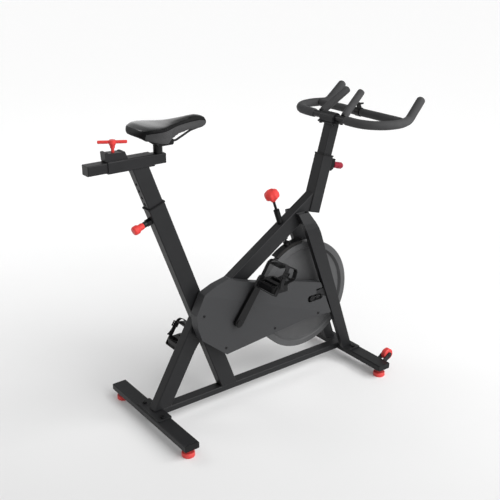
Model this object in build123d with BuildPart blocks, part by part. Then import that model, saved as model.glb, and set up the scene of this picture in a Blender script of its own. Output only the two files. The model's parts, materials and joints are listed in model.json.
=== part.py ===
"""Indoor spin bike: welded frame, belt-driven flywheel, sliding saddle and handlebar.

Millimetres.  +X points to the front of the bike, +Y to the rider's left, +Z up.
The origin is on the floor, under the middle of the bike's overall box.
The right side (negative Y) carries the belt and its guard.
"""
from build123d import *
import os
from math import cos, radians, sin, tan

os.makedirs("parts", exist_ok=True)

# ---------------------------------------------------------------- base
REAR_X = -428.0             # centre line of the rear stabiliser
FRONT_X = 460.0             # centre line of the front stabiliser
STAB_LENGTH = 500.0
STAB_WIDTH = 56.0
STAB_HEIGHT = 24.0
STAB_BOTTOM = 33.0
STAB_TOP = STAB_BOTTOM + STAB_HEIGHT
WALL = 2.0                  # wall of every frame tube
CORNER = 4.0                # outside corner radius of the tubes
RAIL_WIDTH = 40.0
RAIL_BOTTOM = 41.0
RAIL_TOP = 65.0
PLATE_THICK = 5.0           # mounting plates on top of the stabilisers
BOLT_R = 4.0
REAR_BOLT_Y = 60.0
FRONT_BOLT_Y = 72.0

# levelling feet and transport wheels
FOOT_Y = 224.0
FOOT_R = 22.5
FOOT_PAD_HEIGHT = 17.0
FOOT_STUD_R = 5.0
FOOT_NUT_R = 9.0
FOOT_NUT_HEIGHT = 7.0
RUN_FIT = 0.08              # radial clearance of a turning or sliding fit
WHEEL_X = 518.0
WHEEL_Y = 205.0
WHEEL_Z = 66.0
WHEEL_R = 23.0
WHEEL_WIDTH = 22.0
WHEEL_PIN_R = 4.0
EAR_THICK = 4.0
EAR_END_R = 11.0            # ear round the wheel's pin, and where it meets the stabiliser
EAR_ROOT_R = 10.0
PIN_HEAD_R = 7.0
PIN_HEAD_HEIGHT = 4.0
CAP_THICK = 4.0             # moulded end caps of the stabilisers
CAP_PLUG = 8.0
BOSS_R = 10.0               # threaded boss inside the stabiliser, over each foot
BOLT_HEAD_R = 8.0
BOLT_HEAD_HEIGHT = 5.0
BOLT_SOCKET = 3.0
STAB_NUT_R = 7.5
STAB_NUT_HEIGHT = 6.0

# ---------------------------------------------------------------- frame tubes
SEAT_LEAN = -20.2           # degrees from vertical, negative leans to the rear
SEAT_X_AT_400 = -238.0      # seat tube axis at 400 mm above the floor
SEAT_TOP_Z = 811.0
SEAT_TUBE = (62.0, 42.0)    # depth along the bike, width across it
LEG_LEAN = 29.5
LEG_X_AT_150 = -350.8
LEG_TUBE = (60.0, 40.0)
MAIN_SLOPE = 33.4           # degrees above horizontal
MAIN_X = 61.0
MAIN_Z = 559.0
MAIN_TUBE = (60.0, 40.0)
HEAD_LEAN = 15.9
HEAD_X_AT_860 = 333.2
HEAD_TOP_Z = 862.0
HEAD_LENGTH = 213.0
HEAD_TUBE = 50.0

# fork legs: x range at three heights, and how far out each one stands
LEG_INNER_Y = 41.0
LEG_THICK = 20.0
# sections of a fork leg from foot to top: z, rear x, front x, bent in towards the main tube
FORK_FOOT = (62.0, 418.0, 461.0, 0.0)
FORK_BEND = (590.0, 216.0, 277.0, 0.0)
FORK_CURVE = ((610.0, 208.5, 268.5, 2.0), (630.0, 201.0, 258.5, 7.0), (650.0, 193.5, 246.0, 14.0))
FORK_TOP = (670.0, 186.0, 234.0, 21.0)

# ---------------------------------------------------------------- drive
BB_X = -114.0               # bottom bracket centre
BB_Z = 341.0
SHELL_R = 24.0
SHELL_HALF = 28.0
FLY_X = 241.0               # flywheel centre
FLY_Z = 330.0
FLY_R = 214.0
FLY_HALF = 14.0             # half the rim's width
BEARING_OUT_R = 20.0
BEARING_IN_R = 8.5
BEARING_WIDTH = 12.0
BIG_PULLEY_R = 100.0
SMALL_PULLEY_R = 28.0
FLANGE_R = 33.0             # belt flanges of the small pulley
FLANGE_THICK = 1.5
BELT_Y = -41.5
BELT_WIDTH = 10.0
BELT_THICK = 3.0
BELT_GAP = 0.35
DROPOUT_Y = 50.0            # inner face of the axle plates
DROPOUT_THICK = 4.5
AXLE_END_R = 6.0
AXLE_END = 14.0             # how far the axle's thin ends pass the axle plates' inner faces
PLATE_END_R = 17.0
PLATE_ROOT = 26.0           # half height of the axle plate where it meets the leg
NUT_HEIGHT = 9.0

GUARD_OUT_Y = -68.0
GUARD_IN_Y = -33.0
GUARD_WALL = 2.5
AXLE_HOLE_R = 13.0          # clearance holes round the crank axle
BACK_PLATE_Y = -30.0

PULLEY_HUB_R = 26.0
PULLEY_RIM = 8.0
CRANK_ANGLE = 55.0          # right arm above horizontal, to the front
CRANK_LENGTH = 175.0
ARM_IN_Y = 73.0
ARM_THICK = 13.0
ARM_WIDTH = 28.0
PEDAL_Y = 148.0
PEDAL_SIZE = (68.0, 96.0, 24.0)
SPINDLE_R = 6.0
SPINDLE_REACH = 102.0       # from just inside the arm's outer face to the blind end

# ---------------------------------------------------------------- brake
BRAKE_LEAN = 19.45          # degrees behind vertical, radial to the flywheel
PAD_GAP = 3.5
PAD_HALF_ARC = 16.0
ROD_R = 5.0
KNOB_RADIUS = 26.0
KNOB_HEIGHT = 44.5
PAD_THICK = 9.0
HOLDER_THICK = 4.0
KNOB_BASE = 423.0           # distances from the flywheel's centre
ROD_TOP = 438.0

# ---------------------------------------------------------------- seat
SEAT_POST = (56.0, 36.0)
POST_IN = 320.0             # length of seat post inside its tube at rest
SLEEVE_Z = 964.0
SLIDER = (38.0, 32.0)       # width, height
SLEEVE_GAP = 0.4
SLEEVE_WALL = 3.0
SLEEVE_X = (-552.0, -391.0)
SLIDER_X = (-619.0, -348.0)
PILLAR_X = -366.0
PILLAR_R = 15.0
PILLAR_HEIGHT = 26.0
SLIDER_CORNER = 3.0
SLIDER_CAP = 3.0
SLIDER_PLUG = 10.0
CLAMP_SCREW_X = -523.0
SADDLE_X = (-458.0, -182.0)

# ---------------------------------------------------------------- handlebar
BAR_POST = 40.0
BAR_POST_IN = 140.0
BAR_Z = 1000.0
BAR_REAR_X = 358.0
BAR_TUBE_R = 12.7
GRIP_R = 16.0
CLAMP_PLATE_Z = 980.0       # top of the handlebar post
CLAMP_PLATE = (58.0, 92.0)
CROSSBAR_X = 501.0
CROSSBAR_R = 14.0            # front crossbar with its fixed sleeve

# ---------------------------------------------------------------- popped pins
PIN_R = 5.0
PIN_TIP_GAP = 0.4
SEAT_PIN_Z = 771.0
LUG = (46.0, 30.0)          # lug on the head tube: along it, across it
HEAD_PIN_Z = 833.0

made = []


def keep(part, label):
    """Label a finished piece, write its file and remember it."""
    part.label = label
    export_step(part, f"parts/{label}.step")
    made.append(part)


def leaning(x, z, lean, y=0.0):
    """Plane whose normal leans forward by `lean` degrees; local X runs across it, local Y is +Y."""
    a = radians(lean)
    return Plane(origin=(x, y, z), x_dir=(cos(a), 0, -sin(a)), z_dir=(sin(a), 0, cos(a)))


def side(y):
    """Side-view plane at height y: local X is +X, local Y is +Z, and it extrudes towards -Y."""
    return Plane(origin=(0, y, 0), x_dir=(1, 0, 0), z_dir=(0, -1, 0))


def seat_axis_x(z):
    return SEAT_X_AT_400 + tan(radians(SEAT_LEAN)) * (z - 400.0)


def head_axis_x(z):
    return HEAD_X_AT_860 + tan(radians(HEAD_LEAN)) * (z - 860.0)


def seat_point(z, across=0.0):
    """Point on the seat tube's axis at height z, moved square to it towards the front."""
    a = radians(SEAT_LEAN)
    return seat_axis_x(z) + across * cos(a), z - across * sin(a)


def head_point(z, across=0.0):
    a = radians(HEAD_LEAN)
    return head_axis_x(z) + across * cos(a), z - across * sin(a)


# planes that the tubes are mitred to
seat_front = Plane(origin=(seat_point(400.0, SEAT_TUBE[0] / 2)[0], 0,
                           seat_point(400.0, SEAT_TUBE[0] / 2)[1]),
                   z_dir=(cos(radians(SEAT_LEAN)), 0, -sin(radians(SEAT_LEAN))))
seat_rear = Plane(origin=(seat_point(400.0, -SEAT_TUBE[0] / 2)[0], 0,
                          seat_point(400.0, -SEAT_TUBE[0] / 2)[1]),
                  z_dir=(-cos(radians(SEAT_LEAN)), 0, sin(radians(SEAT_LEAN))))
head_rear = Plane(origin=(head_point(750.0, -HEAD_TUBE / 2)[0], 0, head_point(750.0, -HEAD_TUBE / 2)[1]),
                  z_dir=(-cos(radians(HEAD_LEAN)), 0, sin(radians(HEAD_LEAN))))
main_under = Plane(origin=(MAIN_X + sin(radians(MAIN_SLOPE)) * MAIN_TUBE[0] / 2, 0,
                           MAIN_Z - cos(radians(MAIN_SLOPE)) * MAIN_TUBE[0] / 2),
                   z_dir=(sin(radians(MAIN_SLOPE)), 0, -cos(radians(MAIN_SLOPE))))
rail_face = Plane.XY.offset(RAIL_TOP)

# ================================================================ stabilisers
def stabiliser_tube(x):
    """Hollow cross tube with a threaded boss over each levelling foot."""
    with BuildPart() as tube:
        with BuildSketch(Plane(origin=(x, -STAB_LENGTH / 2 + CAP_THICK, STAB_BOTTOM + STAB_HEIGHT / 2),
                               x_dir=(1, 0, 0), z_dir=(0, 1, 0))):
            RectangleRounded(STAB_WIDTH, STAB_HEIGHT, CORNER)
            RectangleRounded(STAB_WIDTH - 2 * WALL, STAB_HEIGHT - 2 * WALL, CORNER - WALL,
                             mode=Mode.SUBTRACT)
        extrude(amount=STAB_LENGTH - 2 * CAP_THICK)
        with BuildSketch(Plane.XY.offset(STAB_BOTTOM + WALL)):
            with Locations((x, -FOOT_Y), (x, FOOT_Y)):
                Circle(BOSS_R)
        extrude(amount=STAB_HEIGHT / 2)
        with BuildSketch(Plane.XY.offset(STAB_BOTTOM)):
            with Locations((x, -FOOT_Y), (x, FOOT_Y)):
                Circle(FOOT_STUD_R + RUN_FIT)
        extrude(amount=STAB_HEIGHT / 2 + WALL, mode=Mode.SUBTRACT)
    return tube


def bolt_holes(x, bolt_y):
    """Cutter for the two mounting bolts of one stabiliser."""
    with BuildPart() as cutter:
        with BuildSketch(Plane.XY.offset(STAB_BOTTOM - 5)):
            with Locations((x, -bolt_y), (x, bolt_y)):
                Circle(BOLT_R)
        extrude(amount=STAB_HEIGHT + PLATE_THICK + 8)
    return cutter.part


with BuildPart() as rear_stabiliser:
    add(stabiliser_tube(REAR_X).part)
    add(bolt_holes(REAR_X, REAR_BOLT_Y), mode=Mode.SUBTRACT)

with BuildPart() as front_stabiliser:
    add(stabiliser_tube(FRONT_X).part)
    add(bolt_holes(FRONT_X, FRONT_BOLT_Y), mode=Mode.SUBTRACT)
    front_face_x = FRONT_X + STAB_WIDTH / 2
    for hand in (-1, 1):
        for ear in (-1, 1):
            ear_y = hand * WHEEL_Y + ear * (WHEEL_WIDTH / 2 + 1 + EAR_THICK / 2)
            with BuildSketch(side(ear_y + EAR_THICK / 2)):
                with Locations((WHEEL_X, WHEEL_Z)):
                    Circle(EAR_END_R)
                with Locations((front_face_x - 1, STAB_TOP - EAR_ROOT_R - 1)):
                    Circle(EAR_ROOT_R)
                make_hull()
            extrude(amount=EAR_THICK)
        with BuildSketch(side(hand * WHEEL_Y + WHEEL_WIDTH / 2 + EAR_THICK + 3)):
            with Locations((WHEEL_X, WHEEL_Z)):
                Circle(WHEEL_PIN_R)
        extrude(amount=WHEEL_WIDTH + 2 * EAR_THICK + 6)
        with BuildSketch(side(hand * WHEEL_Y + WHEEL_WIDTH / 2 + EAR_THICK + 5)):
            with Locations((WHEEL_X, WHEEL_Z)):
                Circle(PIN_HEAD_R)
        extrude(amount=PIN_HEAD_HEIGHT)

with BuildPart() as stabiliser_end_caps:
    for x in (REAR_X, FRONT_X):
        for hand in (-1, 1):
            outside = hand * (STAB_LENGTH / 2 - CAP_THICK / 2)
            with BuildSketch(side(outside + CAP_THICK / 2)):
                with Locations((x, STAB_BOTTOM + STAB_HEIGHT / 2)):
                    RectangleRounded(STAB_WIDTH, STAB_HEIGHT, CORNER)
            extrude(amount=CAP_THICK)
            inside = outside - hand * (CAP_THICK + CAP_PLUG) / 2
            with BuildSketch(side(inside + CAP_PLUG / 2)):
                with Locations((x, STAB_BOTTOM + STAB_HEIGHT / 2)):
                    RectangleRounded(STAB_WIDTH - 2 * WALL, STAB_HEIGHT - 2 * WALL, CORNER - WALL)
            extrude(amount=CAP_PLUG)

with BuildPart() as base_rail:
    rail_start = REAR_X + STAB_WIDTH / 2
    rail_end = FRONT_X - STAB_WIDTH / 2
    with BuildSketch(Plane(origin=(rail_start, 0, (RAIL_TOP + RAIL_BOTTOM) / 2),
                           x_dir=(0, 1, 0), z_dir=(1, 0, 0))):
        RectangleRounded(RAIL_WIDTH, RAIL_TOP - RAIL_BOTTOM, CORNER)
        RectangleRounded(RAIL_WIDTH - 2 * WALL, RAIL_TOP - RAIL_BOTTOM - 2 * WALL, CORNER - WALL,
                         mode=Mode.SUBTRACT)
    extrude(amount=rail_end - rail_start)
    for x, bolt_y, inward in ((REAR_X, REAR_BOLT_Y, 1), (FRONT_X, FRONT_BOLT_Y, -1)):
        with BuildSketch(Plane.XY.offset(STAB_TOP)):
            with Locations((x + inward * 3, 0)):
                RectangleRounded(STAB_WIDTH - 2, 2 * bolt_y + 34, 6)
        extrude(amount=PLATE_THICK)
        add(bolt_holes(x, bolt_y), mode=Mode.SUBTRACT)

with BuildPart() as stabiliser_bolts:
    for x, bolt_y in ((REAR_X, REAR_BOLT_Y), (FRONT_X, FRONT_BOLT_Y)):
        for hand in (-1, 1):
            with BuildSketch(Plane.XY.offset(STAB_TOP + PLATE_THICK)):
                with Locations((x, hand * bolt_y)):
                    Circle(BOLT_HEAD_R)
            extrude(amount=BOLT_HEAD_HEIGHT)
            with BuildSketch(Plane.XY.offset(STAB_TOP + PLATE_THICK + BOLT_HEAD_HEIGHT / 2)):
                with Locations((x, hand * bolt_y)):
                    RegularPolygon(BOLT_SOCKET, 6)
            extrude(amount=BOLT_HEAD_HEIGHT, mode=Mode.SUBTRACT)
            with BuildSketch(Plane.XY.offset(STAB_BOTTOM - 4)):
                with Locations((x, hand * bolt_y)):
                    Circle(BOLT_R)
            extrude(amount=STAB_HEIGHT + PLATE_THICK + 4)
            with BuildSketch(Plane.XY.offset(STAB_BOTTOM - STAB_NUT_HEIGHT)):
                with Locations((x, hand * bolt_y)):
                    RegularPolygon(STAB_NUT_R, 6)
            extrude(amount=STAB_NUT_HEIGHT)

# ================================================================ frame tubes
with BuildPart() as seat_tube:
    top_x, top_z = seat_point(SEAT_TOP_Z)
    with BuildSketch(leaning(top_x, top_z, SEAT_LEAN)):
        RectangleRounded(*SEAT_TUBE, CORNER)
        RectangleRounded(SEAT_TUBE[0] - 2 * WALL, SEAT_TUBE[1] - 2 * WALL, CORNER - WALL,
                         mode=Mode.SUBTRACT)
    extrude(amount=-900)
    split(bisect_by=rail_face, keep=Keep.TOP)
    with BuildSketch(leaning(*seat_point(SEAT_PIN_Z), SEAT_LEAN - 90)):
        Circle(PIN_R + 1)
    extrude(amount=SEAT_TUBE[0], mode=Mode.SUBTRACT)

with BuildPart() as rear_leg:
    with BuildSketch(leaning(LEG_X_AT_150, 150.0, LEG_LEAN)):
        RectangleRounded(*LEG_TUBE, CORNER)
        RectangleRounded(LEG_TUBE[0] - 2 * WALL, LEG_TUBE[1] - 2 * WALL, CORNER - WALL,
                         mode=Mode.SUBTRACT)
    extrude(amount=300, both=True)
    split(bisect_by=rail_face, keep=Keep.TOP)
    split(bisect_by=seat_rear, keep=Keep.TOP)

# the main tube is square to this plane; its depth lies in the side view
main_plane = leaning(MAIN_X, MAIN_Z, 90 - MAIN_SLOPE)
with BuildPart() as main_tube_blank:
    with BuildSketch(main_plane):
        RectangleRounded(*MAIN_TUBE, CORNER)
        RectangleRounded(MAIN_TUBE[0] - 2 * WALL, MAIN_TUBE[1] - 2 * WALL, CORNER - WALL,
                         mode=Mode.SUBTRACT)
    extrude(amount=400, both=True)
    split(bisect_by=seat_front, keep=Keep.TOP)
    split(bisect_by=head_rear, keep=Keep.TOP)

# radial line of the brake, from the flywheel's centre outwards
brake_dir = (-sin(radians(BRAKE_LEAN)), cos(radians(BRAKE_LEAN)))


def brake_plane(radius):
    return leaning(FLY_X + brake_dir[0] * radius, FLY_Z + brake_dir[1] * radius, -BRAKE_LEAN)


SLEEVE_LOW = 258.0          # brake sleeve, distances from the flywheel's centre
SLEEVE_HIGH = 384.0
SLEEVE_OUT_R = 11.0

with BuildPart() as main_tube:
    add(main_tube_blank.part)
    with BuildSketch(brake_plane(SLEEVE_LOW)):
        Circle(SLEEVE_OUT_R)
    extrude(amount=SLEEVE_HIGH - SLEEVE_LOW, mode=Mode.SUBTRACT)

with BuildPart() as head_tube:
    with BuildSketch(leaning(*head_point(HEAD_TOP_Z), HEAD_LEAN)):
        RectangleRounded(HEAD_TUBE, HEAD_TUBE, CORNER)
        RectangleRounded(HEAD_TUBE - 5, HEAD_TUBE - 5, CORNER - WALL, mode=Mode.SUBTRACT)
    extrude(amount=-HEAD_LENGTH)
    with BuildSketch(leaning(*head_point(HEAD_PIN_Z), HEAD_LEAN + 90)):
        Circle(PIN_R + 1)
    extrude(amount=HEAD_TUBE, mode=Mode.SUBTRACT)


def fork_leg(hand):
    """Bent tapering leg from the front stabiliser to the main tube, with its axle plate."""
    with BuildPart() as leg:
        for inset, mode in ((0.0, Mode.ADD), (WALL, Mode.SUBTRACT)):
            stations = (FORK_FOOT, FORK_BEND, *FORK_CURVE, FORK_TOP)
            for lower, upper in zip(stations, stations[1:]):
                for z, rear, front, bend_in in (lower, upper):
                    middle = hand * (LEG_INNER_Y + LEG_THICK / 2 - bend_in)
                    with BuildSketch(Plane.XY.offset(z)):
                        with Locations(((rear + front) / 2, middle)):
                            Rectangle(front - rear - 2 * inset, LEG_THICK - 2 * inset)
                loft(ruled=True, mode=mode)
        leg_slope = (FORK_BEND[1] - FORK_FOOT[1]) / (FORK_BEND[0] - FORK_FOOT[0])
        rear_x = FORK_FOOT[1] + leg_slope * (FLY_Z - FORK_FOOT[0])
        plate_y = hand * (DROPOUT_Y + DROPOUT_THICK / 2) + DROPOUT_THICK / 2
        with BuildSketch(side(plate_y)):
            with BuildLine():
                Polyline((FLY_X, FLY_Z - PLATE_END_R), (rear_x + 12, FLY_Z - PLATE_ROOT),
                         (rear_x - 4, FLY_Z + PLATE_ROOT), (FLY_X, FLY_Z + PLATE_END_R), close=True)
            make_face()
            with Locations((FLY_X, FLY_Z)):
                Circle(PLATE_END_R)
            with Locations((FLY_X + 4, FLY_Z)):
                SlotCenterToCenter(14, 2 * AXLE_END_R + 0.2, mode=Mode.SUBTRACT)
        extrude(amount=DROPOUT_THICK)
    return leg.part


with BuildPart() as bottom_bracket_shell:
    # two gussets under the main tube tie the shell back to the seat tube
    for gusset_y in (-12.0, 16.0):
        with BuildSketch(side(gusset_y)):
            with BuildLine():
                Polyline((BB_X + SHELL_R - 2, BB_Z), (BB_X + 80, BB_Z + 130), (BB_X - 130, BB_Z + 130),
                         (BB_X - 130, BB_Z - 75), (BB_X, BB_Z - SHELL_R + 2), close=True)
            make_face()
        extrude(amount=4)
    split(bisect_by=seat_front, keep=Keep.TOP)
    split(bisect_by=main_under, keep=Keep.TOP)
    with BuildSketch(side(SHELL_HALF)):
        with Locations((BB_X, BB_Z)):
            Circle(SHELL_R)
    extrude(amount=2 * SHELL_HALF)
    with BuildSketch(side(SHELL_HALF)):
        with Locations((BB_X, BB_Z)):
            Circle(BEARING_OUT_R)
    extrude(amount=2 * SHELL_HALF, mode=Mode.SUBTRACT)

# bearings of one size: two in the shell, two in the flywheel hub
HUB_HALF = 20.0
bearing_places = [(BB_X, BB_Z, SHELL_HALF), (BB_X, BB_Z, -SHELL_HALF + BEARING_WIDTH),
                  (FLY_X, FLY_Z, HUB_HALF), (FLY_X, FLY_Z, -HUB_HALF + BEARING_WIDTH)]
with BuildPart() as bearings:
    for x, z, y in bearing_places:
        hub = x == FLY_X
        with BuildSketch(side(y)):
            with Locations((x, z)):
                Circle(BEARING_OUT_R - (RUN_FIT if hub else 0))
                Circle(BEARING_IN_R + (0 if hub else RUN_FIT), mode=Mode.SUBTRACT)
        extrude(amount=BEARING_WIDTH)

with BuildPart() as flywheel_axle:
    with BuildSketch(side(DROPOUT_Y)):
        with Locations((FLY_X, FLY_Z)):
            Circle(BEARING_IN_R)
    extrude(amount=2 * DROPOUT_Y)
    with BuildSketch(side(DROPOUT_Y + AXLE_END)):
        with Locations((FLY_X, FLY_Z)):
            Circle(AXLE_END_R)
    extrude(amount=2 * (DROPOUT_Y + AXLE_END))

# axle nuts and chain-tension bolts lie on the outer faces of the axle plates
with BuildPart() as axle_hardware:
    plate_out = DROPOUT_Y + DROPOUT_THICK
    for hand in (-1, 1):
        near = hand * plate_out
        with BuildSketch(side(near + (NUT_HEIGHT if hand > 0 else 0))):
            with Locations((FLY_X, FLY_Z)):
                RegularPolygon(11, 6)
                Circle(AXLE_END_R, mode=Mode.SUBTRACT)
        extrude(amount=NUT_HEIGHT)
        with BuildSketch(side(near + (7 if hand > 0 else 0))):
            with Locations((FLY_X + 29, FLY_Z)):
                Rectangle(12, 12)
        extrude(amount=7)
        with BuildSketch(Plane(origin=(FLY_X + 13, near + hand * 3.5, FLY_Z), z_dir=(1, 0, 0))):
            Circle(2.8)
        extrude(amount=34)
        with BuildSketch(Plane(origin=(FLY_X + 45, near + hand * 4.7, FLY_Z), z_dir=(1, 0, 0))):
            RegularPolygon(5.3, 6)
        extrude(amount=5)

# ================================================================ flywheel
def revolve_about(x, z, profile):
    """Turn a list of (radius, y) points about the cross axis through (x, z)."""
    with BuildPart() as turned:
        with BuildSketch(Plane(origin=(x, 0, z), x_dir=(0, 0, 1), z_dir=(-1, 0, 0))):
            with BuildLine():
                Polyline(*profile, close=True)
            make_face()
        revolve(axis=Axis((x, 0, z), (0, 1, 0)))
    return turned.part


WEB_HALF = 4.0
RIM_IN_R = 190.0
HUB_R = 42.0
wheel_half = [(FLY_R - 2, FLY_HALF), (FLY_R, FLY_HALF - 2)]
wheel_front = [(BEARING_OUT_R, HUB_HALF), (HUB_R - 2, HUB_HALF), (HUB_R, HUB_HALF - 2),
               (HUB_R + 3, WEB_HALF), (RIM_IN_R - 6, WEB_HALF), (RIM_IN_R, FLY_HALF - 2),
               (RIM_IN_R + 2, FLY_HALF), *wheel_half]
wheel_back = [(r, -y) for r, y in reversed(wheel_front)]
with BuildPart() as flywheel:
    add(revolve_about(FLY_X, FLY_Z, wheel_front + wheel_back))

with BuildPart() as flywheel_pulley:
    pulley_low = BELT_Y - BELT_WIDTH / 2 - 1
    pulley_high = BELT_Y + BELT_WIDTH / 2 + 1
    bore = BEARING_IN_R + 0.6
    add(revolve_about(FLY_X, FLY_Z, [
        (bore, -HUB_HALF), (24, -HUB_HALF), (24, pulley_high + FLANGE_THICK),
        (FLANGE_R, pulley_high + FLANGE_THICK), (FLANGE_R, pulley_high), (SMALL_PULLEY_R, pulley_high),
        (SMALL_PULLEY_R, pulley_low), (FLANGE_R, pulley_low), (FLANGE_R, pulley_low - FLANGE_THICK),
        (bore, pulley_low - FLANGE_THICK)]))

# ================================================================ belt, guard
with BuildPart() as drive_belt:
    for thick, mode in ((BELT_GAP + BELT_THICK, Mode.ADD), (BELT_GAP, Mode.SUBTRACT)):
        with BuildSketch(side(BELT_Y + BELT_WIDTH / 2)):
            with Locations((BB_X, BB_Z)):
                Circle(BIG_PULLEY_R + thick)
            with Locations((FLY_X, FLY_Z)):
                Circle(SMALL_PULLEY_R + thick)
            make_hull()
        extrude(amount=BELT_WIDTH, mode=mode)

guard_outline = [(-246, 477), (-281, 407), (-275, 355), (-259, 308), (-157, 223), (212, 257),
                 (336, 248), (290, 381), (160, 420), (-3, 459), (-64, 478), (-112, 495), (-138, 509),
                 (-195, 497)]
CREASE_REAR = Vector(-246, GUARD_OUT_Y, 477)
CREASE_FRONT = Vector(208, GUARD_OUT_Y, 296)
BEVEL_RISE = 11.0
BEVEL_TOP = Vector(160, GUARD_OUT_Y + BEVEL_RISE, 420)
bevel_normal = (CREASE_FRONT - CREASE_REAR).cross(BEVEL_TOP - CREASE_REAR).normalized()
if bevel_normal.Y > 0:
    bevel_normal = -bevel_normal


def guard_solid(inset):
    """The guard's outer form, or its cavity when inset by the wall."""
    with BuildPart() as form:
        with BuildSketch(side(GUARD_IN_Y)):
            with BuildLine():
                Polyline(*guard_outline, close=True)
            make_face()
            if inset:
                offset(amount=-inset, mode=Mode.REPLACE)
        extrude(amount=GUARD_IN_Y - GUARD_OUT_Y - inset)
        split(bisect_by=Plane(origin=CREASE_REAR - bevel_normal * inset, z_dir=bevel_normal),
              keep=Keep.BOTTOM)
    return form.part


WINDOW = (FLY_X + 17, FLY_Z, 78.0, 26.0)    # slot in the guard over the axle nut and its bolt
with BuildPart() as guard_outer:
    add(guard_solid(0.0))
    add(guard_solid(GUARD_WALL), mode=Mode.SUBTRACT)
    with BuildSketch(side(GUARD_IN_Y - 10)):
        with Locations((BB_X, BB_Z)):
            Circle(AXLE_HOLE_R)
        with Locations(WINDOW[:2]):
            SlotOverall(*WINDOW[2:])
        with Locations((300, FLY_Z)):
            Rectangle(70, 62)
    extrude(amount=18, mode=Mode.SUBTRACT)
    with BuildSketch(side(GUARD_OUT_Y + 8)):
        with Locations((BB_X, BB_Z)):
            Circle(AXLE_HOLE_R)
        with Locations(WINDOW[:2]):
            SlotOverall(*WINDOW[2:])
    extrude(amount=20, mode=Mode.SUBTRACT)

with BuildPart() as guard_inner:
    with BuildSketch(side(BACK_PLATE_Y)):
        with BuildLine():
            Polyline(*guard_outline, close=True)
        make_face()
        with Locations((BB_X, BB_Z)):
            Circle(AXLE_HOLE_R + 1, mode=Mode.SUBTRACT)
        with Locations((FLY_X, FLY_Z)):
            Circle(SMALL_PULLEY_R + 2, mode=Mode.SUBTRACT)
    extrude(amount=BACK_PLATE_Y - GUARD_IN_Y)
    # bosses stand the plate off the main tube and the seat tube
    for x, z, tube_width in ((-100, 453, MAIN_TUBE[1]), (-238, 400, SEAT_TUBE[1])):
        with BuildSketch(side(-tube_width / 2)):
            with Locations((x, z)):
                Circle(7)
        extrude(amount=-tube_width / 2 - BACK_PLATE_Y)

GUARD_SCREW_R = 4.5
GUARD_SCREW_HEIGHT = 1.8
screw_places = [(-250, 400), (-160, 250), (60, 262), (270, 264)]
with BuildPart() as guard_screws:
    for x, z in screw_places:
        with BuildSketch(side(GUARD_OUT_Y)):
            with Locations((x, z)):
                Circle(GUARD_SCREW_R)
        extrude(amount=GUARD_SCREW_HEIGHT)

# ================================================================ brake
with BuildPart() as brake_sleeve:
    with BuildSketch(brake_plane(SLEEVE_LOW)):
        Circle(SLEEVE_OUT_R)
        Circle(ROD_R + RUN_FIT, mode=Mode.SUBTRACT)
    extrude(amount=SLEEVE_HIGH - SLEEVE_LOW)


def arc_block(inner, outer, half_angle, half_width):
    """Block that follows the flywheel's rim, centred on the brake's line."""
    start = 90 + BRAKE_LEAN - half_angle
    with BuildPart() as block:
        with BuildSketch(side(half_width)):
            with BuildLine():
                low = CenterArc((FLY_X, FLY_Z), inner, start, 2 * half_angle)
                high = CenterArc((FLY_X, FLY_Z), outer, start, 2 * half_angle)
                Line(low @ 0, high @ 0)
                Line(low @ 1, high @ 1)
            make_face()
        extrude(amount=2 * half_width)
    return block.part


PAD_OUT_R = FLY_R + PAD_GAP + PAD_THICK
HOLDER_OUT_R = PAD_OUT_R + HOLDER_THICK
with BuildPart() as brake_pad:
    add(arc_block(FLY_R + PAD_GAP, PAD_OUT_R, PAD_HALF_ARC, 12))

with BuildPart() as brake_rod:
    add(arc_block(PAD_OUT_R, HOLDER_OUT_R, PAD_HALF_ARC + 1, 14))
    with BuildSketch(brake_plane(HOLDER_OUT_R - 2)):
        Circle(11)
    extrude(amount=14)
    with BuildSketch(brake_plane(HOLDER_OUT_R - 1)):
        Circle(ROD_R)
    extrude(amount=ROD_TOP - HOLDER_OUT_R)

with BuildPart() as brake_knob:
    with BuildSketch(Plane(origin=brake_plane(KNOB_BASE).origin, x_dir=(0, 1, 0),
                           z_dir=(cos(radians(BRAKE_LEAN)), 0, sin(radians(BRAKE_LEAN))))):
        with BuildLine():
            Polyline((0, 0), (10, 0), (13, 9), (KNOB_RADIUS - 2, 15), (KNOB_RADIUS, 18),
                     (KNOB_RADIUS, 28), (KNOB_RADIUS - 3, 36), (15, 42), (6, KNOB_HEIGHT),
                     (0, KNOB_HEIGHT), close=True)
        make_face()
    revolve(axis=Axis(brake_plane(KNOB_BASE).origin, brake_plane(KNOB_BASE).z_dir))
    with BuildSketch(brake_plane(KNOB_BASE)):
        Circle(ROD_R + RUN_FIT)
    extrude(amount=16, mode=Mode.SUBTRACT)

# ================================================================ cranks and pedals
arm_dir = (cos(radians(CRANK_ANGLE)), sin(radians(CRANK_ANGLE)))
right_pedal = (BB_X + CRANK_LENGTH * arm_dir[0], BB_Z + CRANK_LENGTH * arm_dir[1])
left_pedal = (BB_X - CRANK_LENGTH * arm_dir[0], BB_Z - CRANK_LENGTH * arm_dir[1])

with BuildPart() as crank_axle:
    with BuildSketch(side(ARM_IN_Y + ARM_THICK)):
        with Locations((BB_X, BB_Z)):
            Circle(BEARING_IN_R)
    extrude(amount=2 * (ARM_IN_Y + ARM_THICK))


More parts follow.
